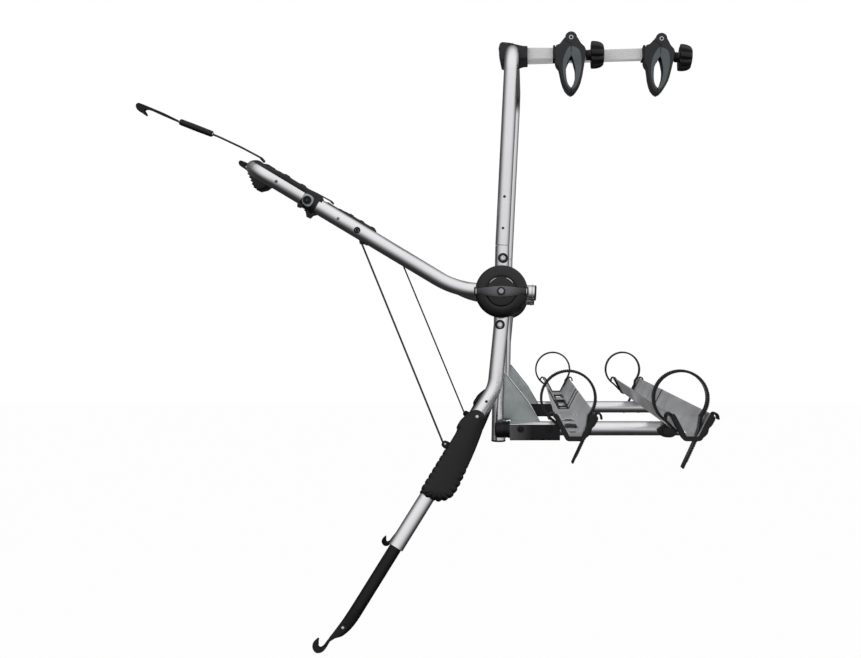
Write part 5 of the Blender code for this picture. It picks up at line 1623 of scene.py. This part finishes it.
# %% Tray caps
CAP_SHEET = 0.0028
CAP_HALF = 0.0125
CAP_END = TRAY_LENGTH + 0.0025
RATCHET = mm([
    (18.2, 2), (26.2, 8), (28.5, 13.5), (30, 19), (34.5, 23.5), (40, 33), (40.5, 38.5), (36.8, 40),
    (33.5, 34.5), (25.5, 19),
])
CAP_CURL = mm([(35.5, 40.5), (38.5, 45), (43.5, 44.5), (46.2, 40), (46.8, 34.5)])
for tray in TRAY_X:
    for label, side in SIDES.items():
        matrix = tray_view(tray, side * (CAP_END - CAP_HALF))
        gap = -TRAY_SHEET / 2 - 0.0004
        shells = [band(folded, gap - CAP_SHEET, gap, -CAP_HALF, CAP_HALF, matrix, 0.0008)]
        rim = tray_view(tray, side * (CAP_END + 0.0005))
        low, high = gap - CAP_SHEET - 0.0006, TRAY_SHEET / 2 + 0.0030
        shells.append(band(folded, low, high, -0.0014, 0.0014, rim, 0.0006))
        for way in (-1, 1):
            curl = flowing(np.array(CAP_CURL) * (way, 1), 6, closed=False)
            shells.append(band(curl, -0.0017, 0.0017, -CAP_HALF, CAP_HALF, matrix, 0.0010))
        shells.append(plate(flowing(RATCHET), -CAP_HALF, CAP_HALF, matrix, 0.0012))
        name = f"cap_{tray}_{label}"
        piece("end_" + name, shells, moulded, "wheel_tray_" + tray, ["tray_" + name])

# %% Wheel straps
for tray in TRAY_X:
    line = strap_line(STRAP_END[tray])
    total = run_length(line)
    run = np.arange(0, total, STRAP_PITCH / 8)
    spine = at_lengths(line, run)
    teeth = pulse(run, STRAP_PITCH, 0.42, 0.22) * 0.0012 * np.clip((total - run - 0.012) / 0.004, 0, 1)
    low, high = -STRAP_THICKNESS / 2, STRAP_THICKNESS / 2 - 0.0006 + teeth
    half = STRAP_WIDTH / 2
    for label, side in SIDES.items():
        matrix = moved(tray_view(tray, side * STRAP_Y), x=STRAP_SHIFT[tray])
        strap = band(spine, low, high, -half, half, matrix, 0.0005)
        name = f"strap_{tray}_{label}"
        piece("toothed_" + name, [strap], rubber, "wheel_tray_" + tray, ["wheel_" + name])

# %% Clamps under the outer tray
GRIP = mm([(-20, 4), (-22.5, -4), (-12, -15), (8, -16.5), (18, -7), (18.5, 8), (2, 12)])
GRIP_KNOB = [
    (0.0, 0, 0), (0.0090, 0, 1), (0.0098, 0.0012, 1), (0.0096, 0.0050, 1), (0.0080, 0.0070, 0.7),
    (0.0, 0.0078, 0)
]
BAR_FACE = BAR_Y + BAR_RADIUS
for label, side in SIDES.items():
    front = outward(side, TRAY_X["2"], 0, BAR_Z)
    low, high = BAR_FACE + 0.0004, BAR_FACE + 0.0080
    shells = [plate(flowing(GRIP), low, high, front, 0.0020)]
    shells.append(block((-0.0120, 0.0120, low), (0.0120, 0.0160, high), front))
    knob = axis_place((TRAY_X["2"] - 0.004, side * (BAR_FACE + 0.0078), BAR_Z - 0.003), (0, side, 0))
    shells.append(fluted(GRIP_KNOB, knob, 6, 0.18, 72))
    piece("bar_grip_" + label, shells, moulded, "wheel_tray_2")
print("pieces so far", len(made))

# %% [markdown]
# ## The CAD pieces that stay
#
# The two upper hooks keep their solids and take their finish by name.

# %% Finishes for the CAD nodes
for name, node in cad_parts.items():
    if name.startswith("upper_hook"):
        node.data.materials.clear()
        node.data.materials.append(painted_steel)

for label, side in SIDES.items():
    stay, path = stays[label]
    rope_piece, path = hook_ropes[label]

# %% Write the sizes and finish
print("pieces:", len(made), "largest:", sorted(made.items(), key=lambda item: -item[1])[:3])
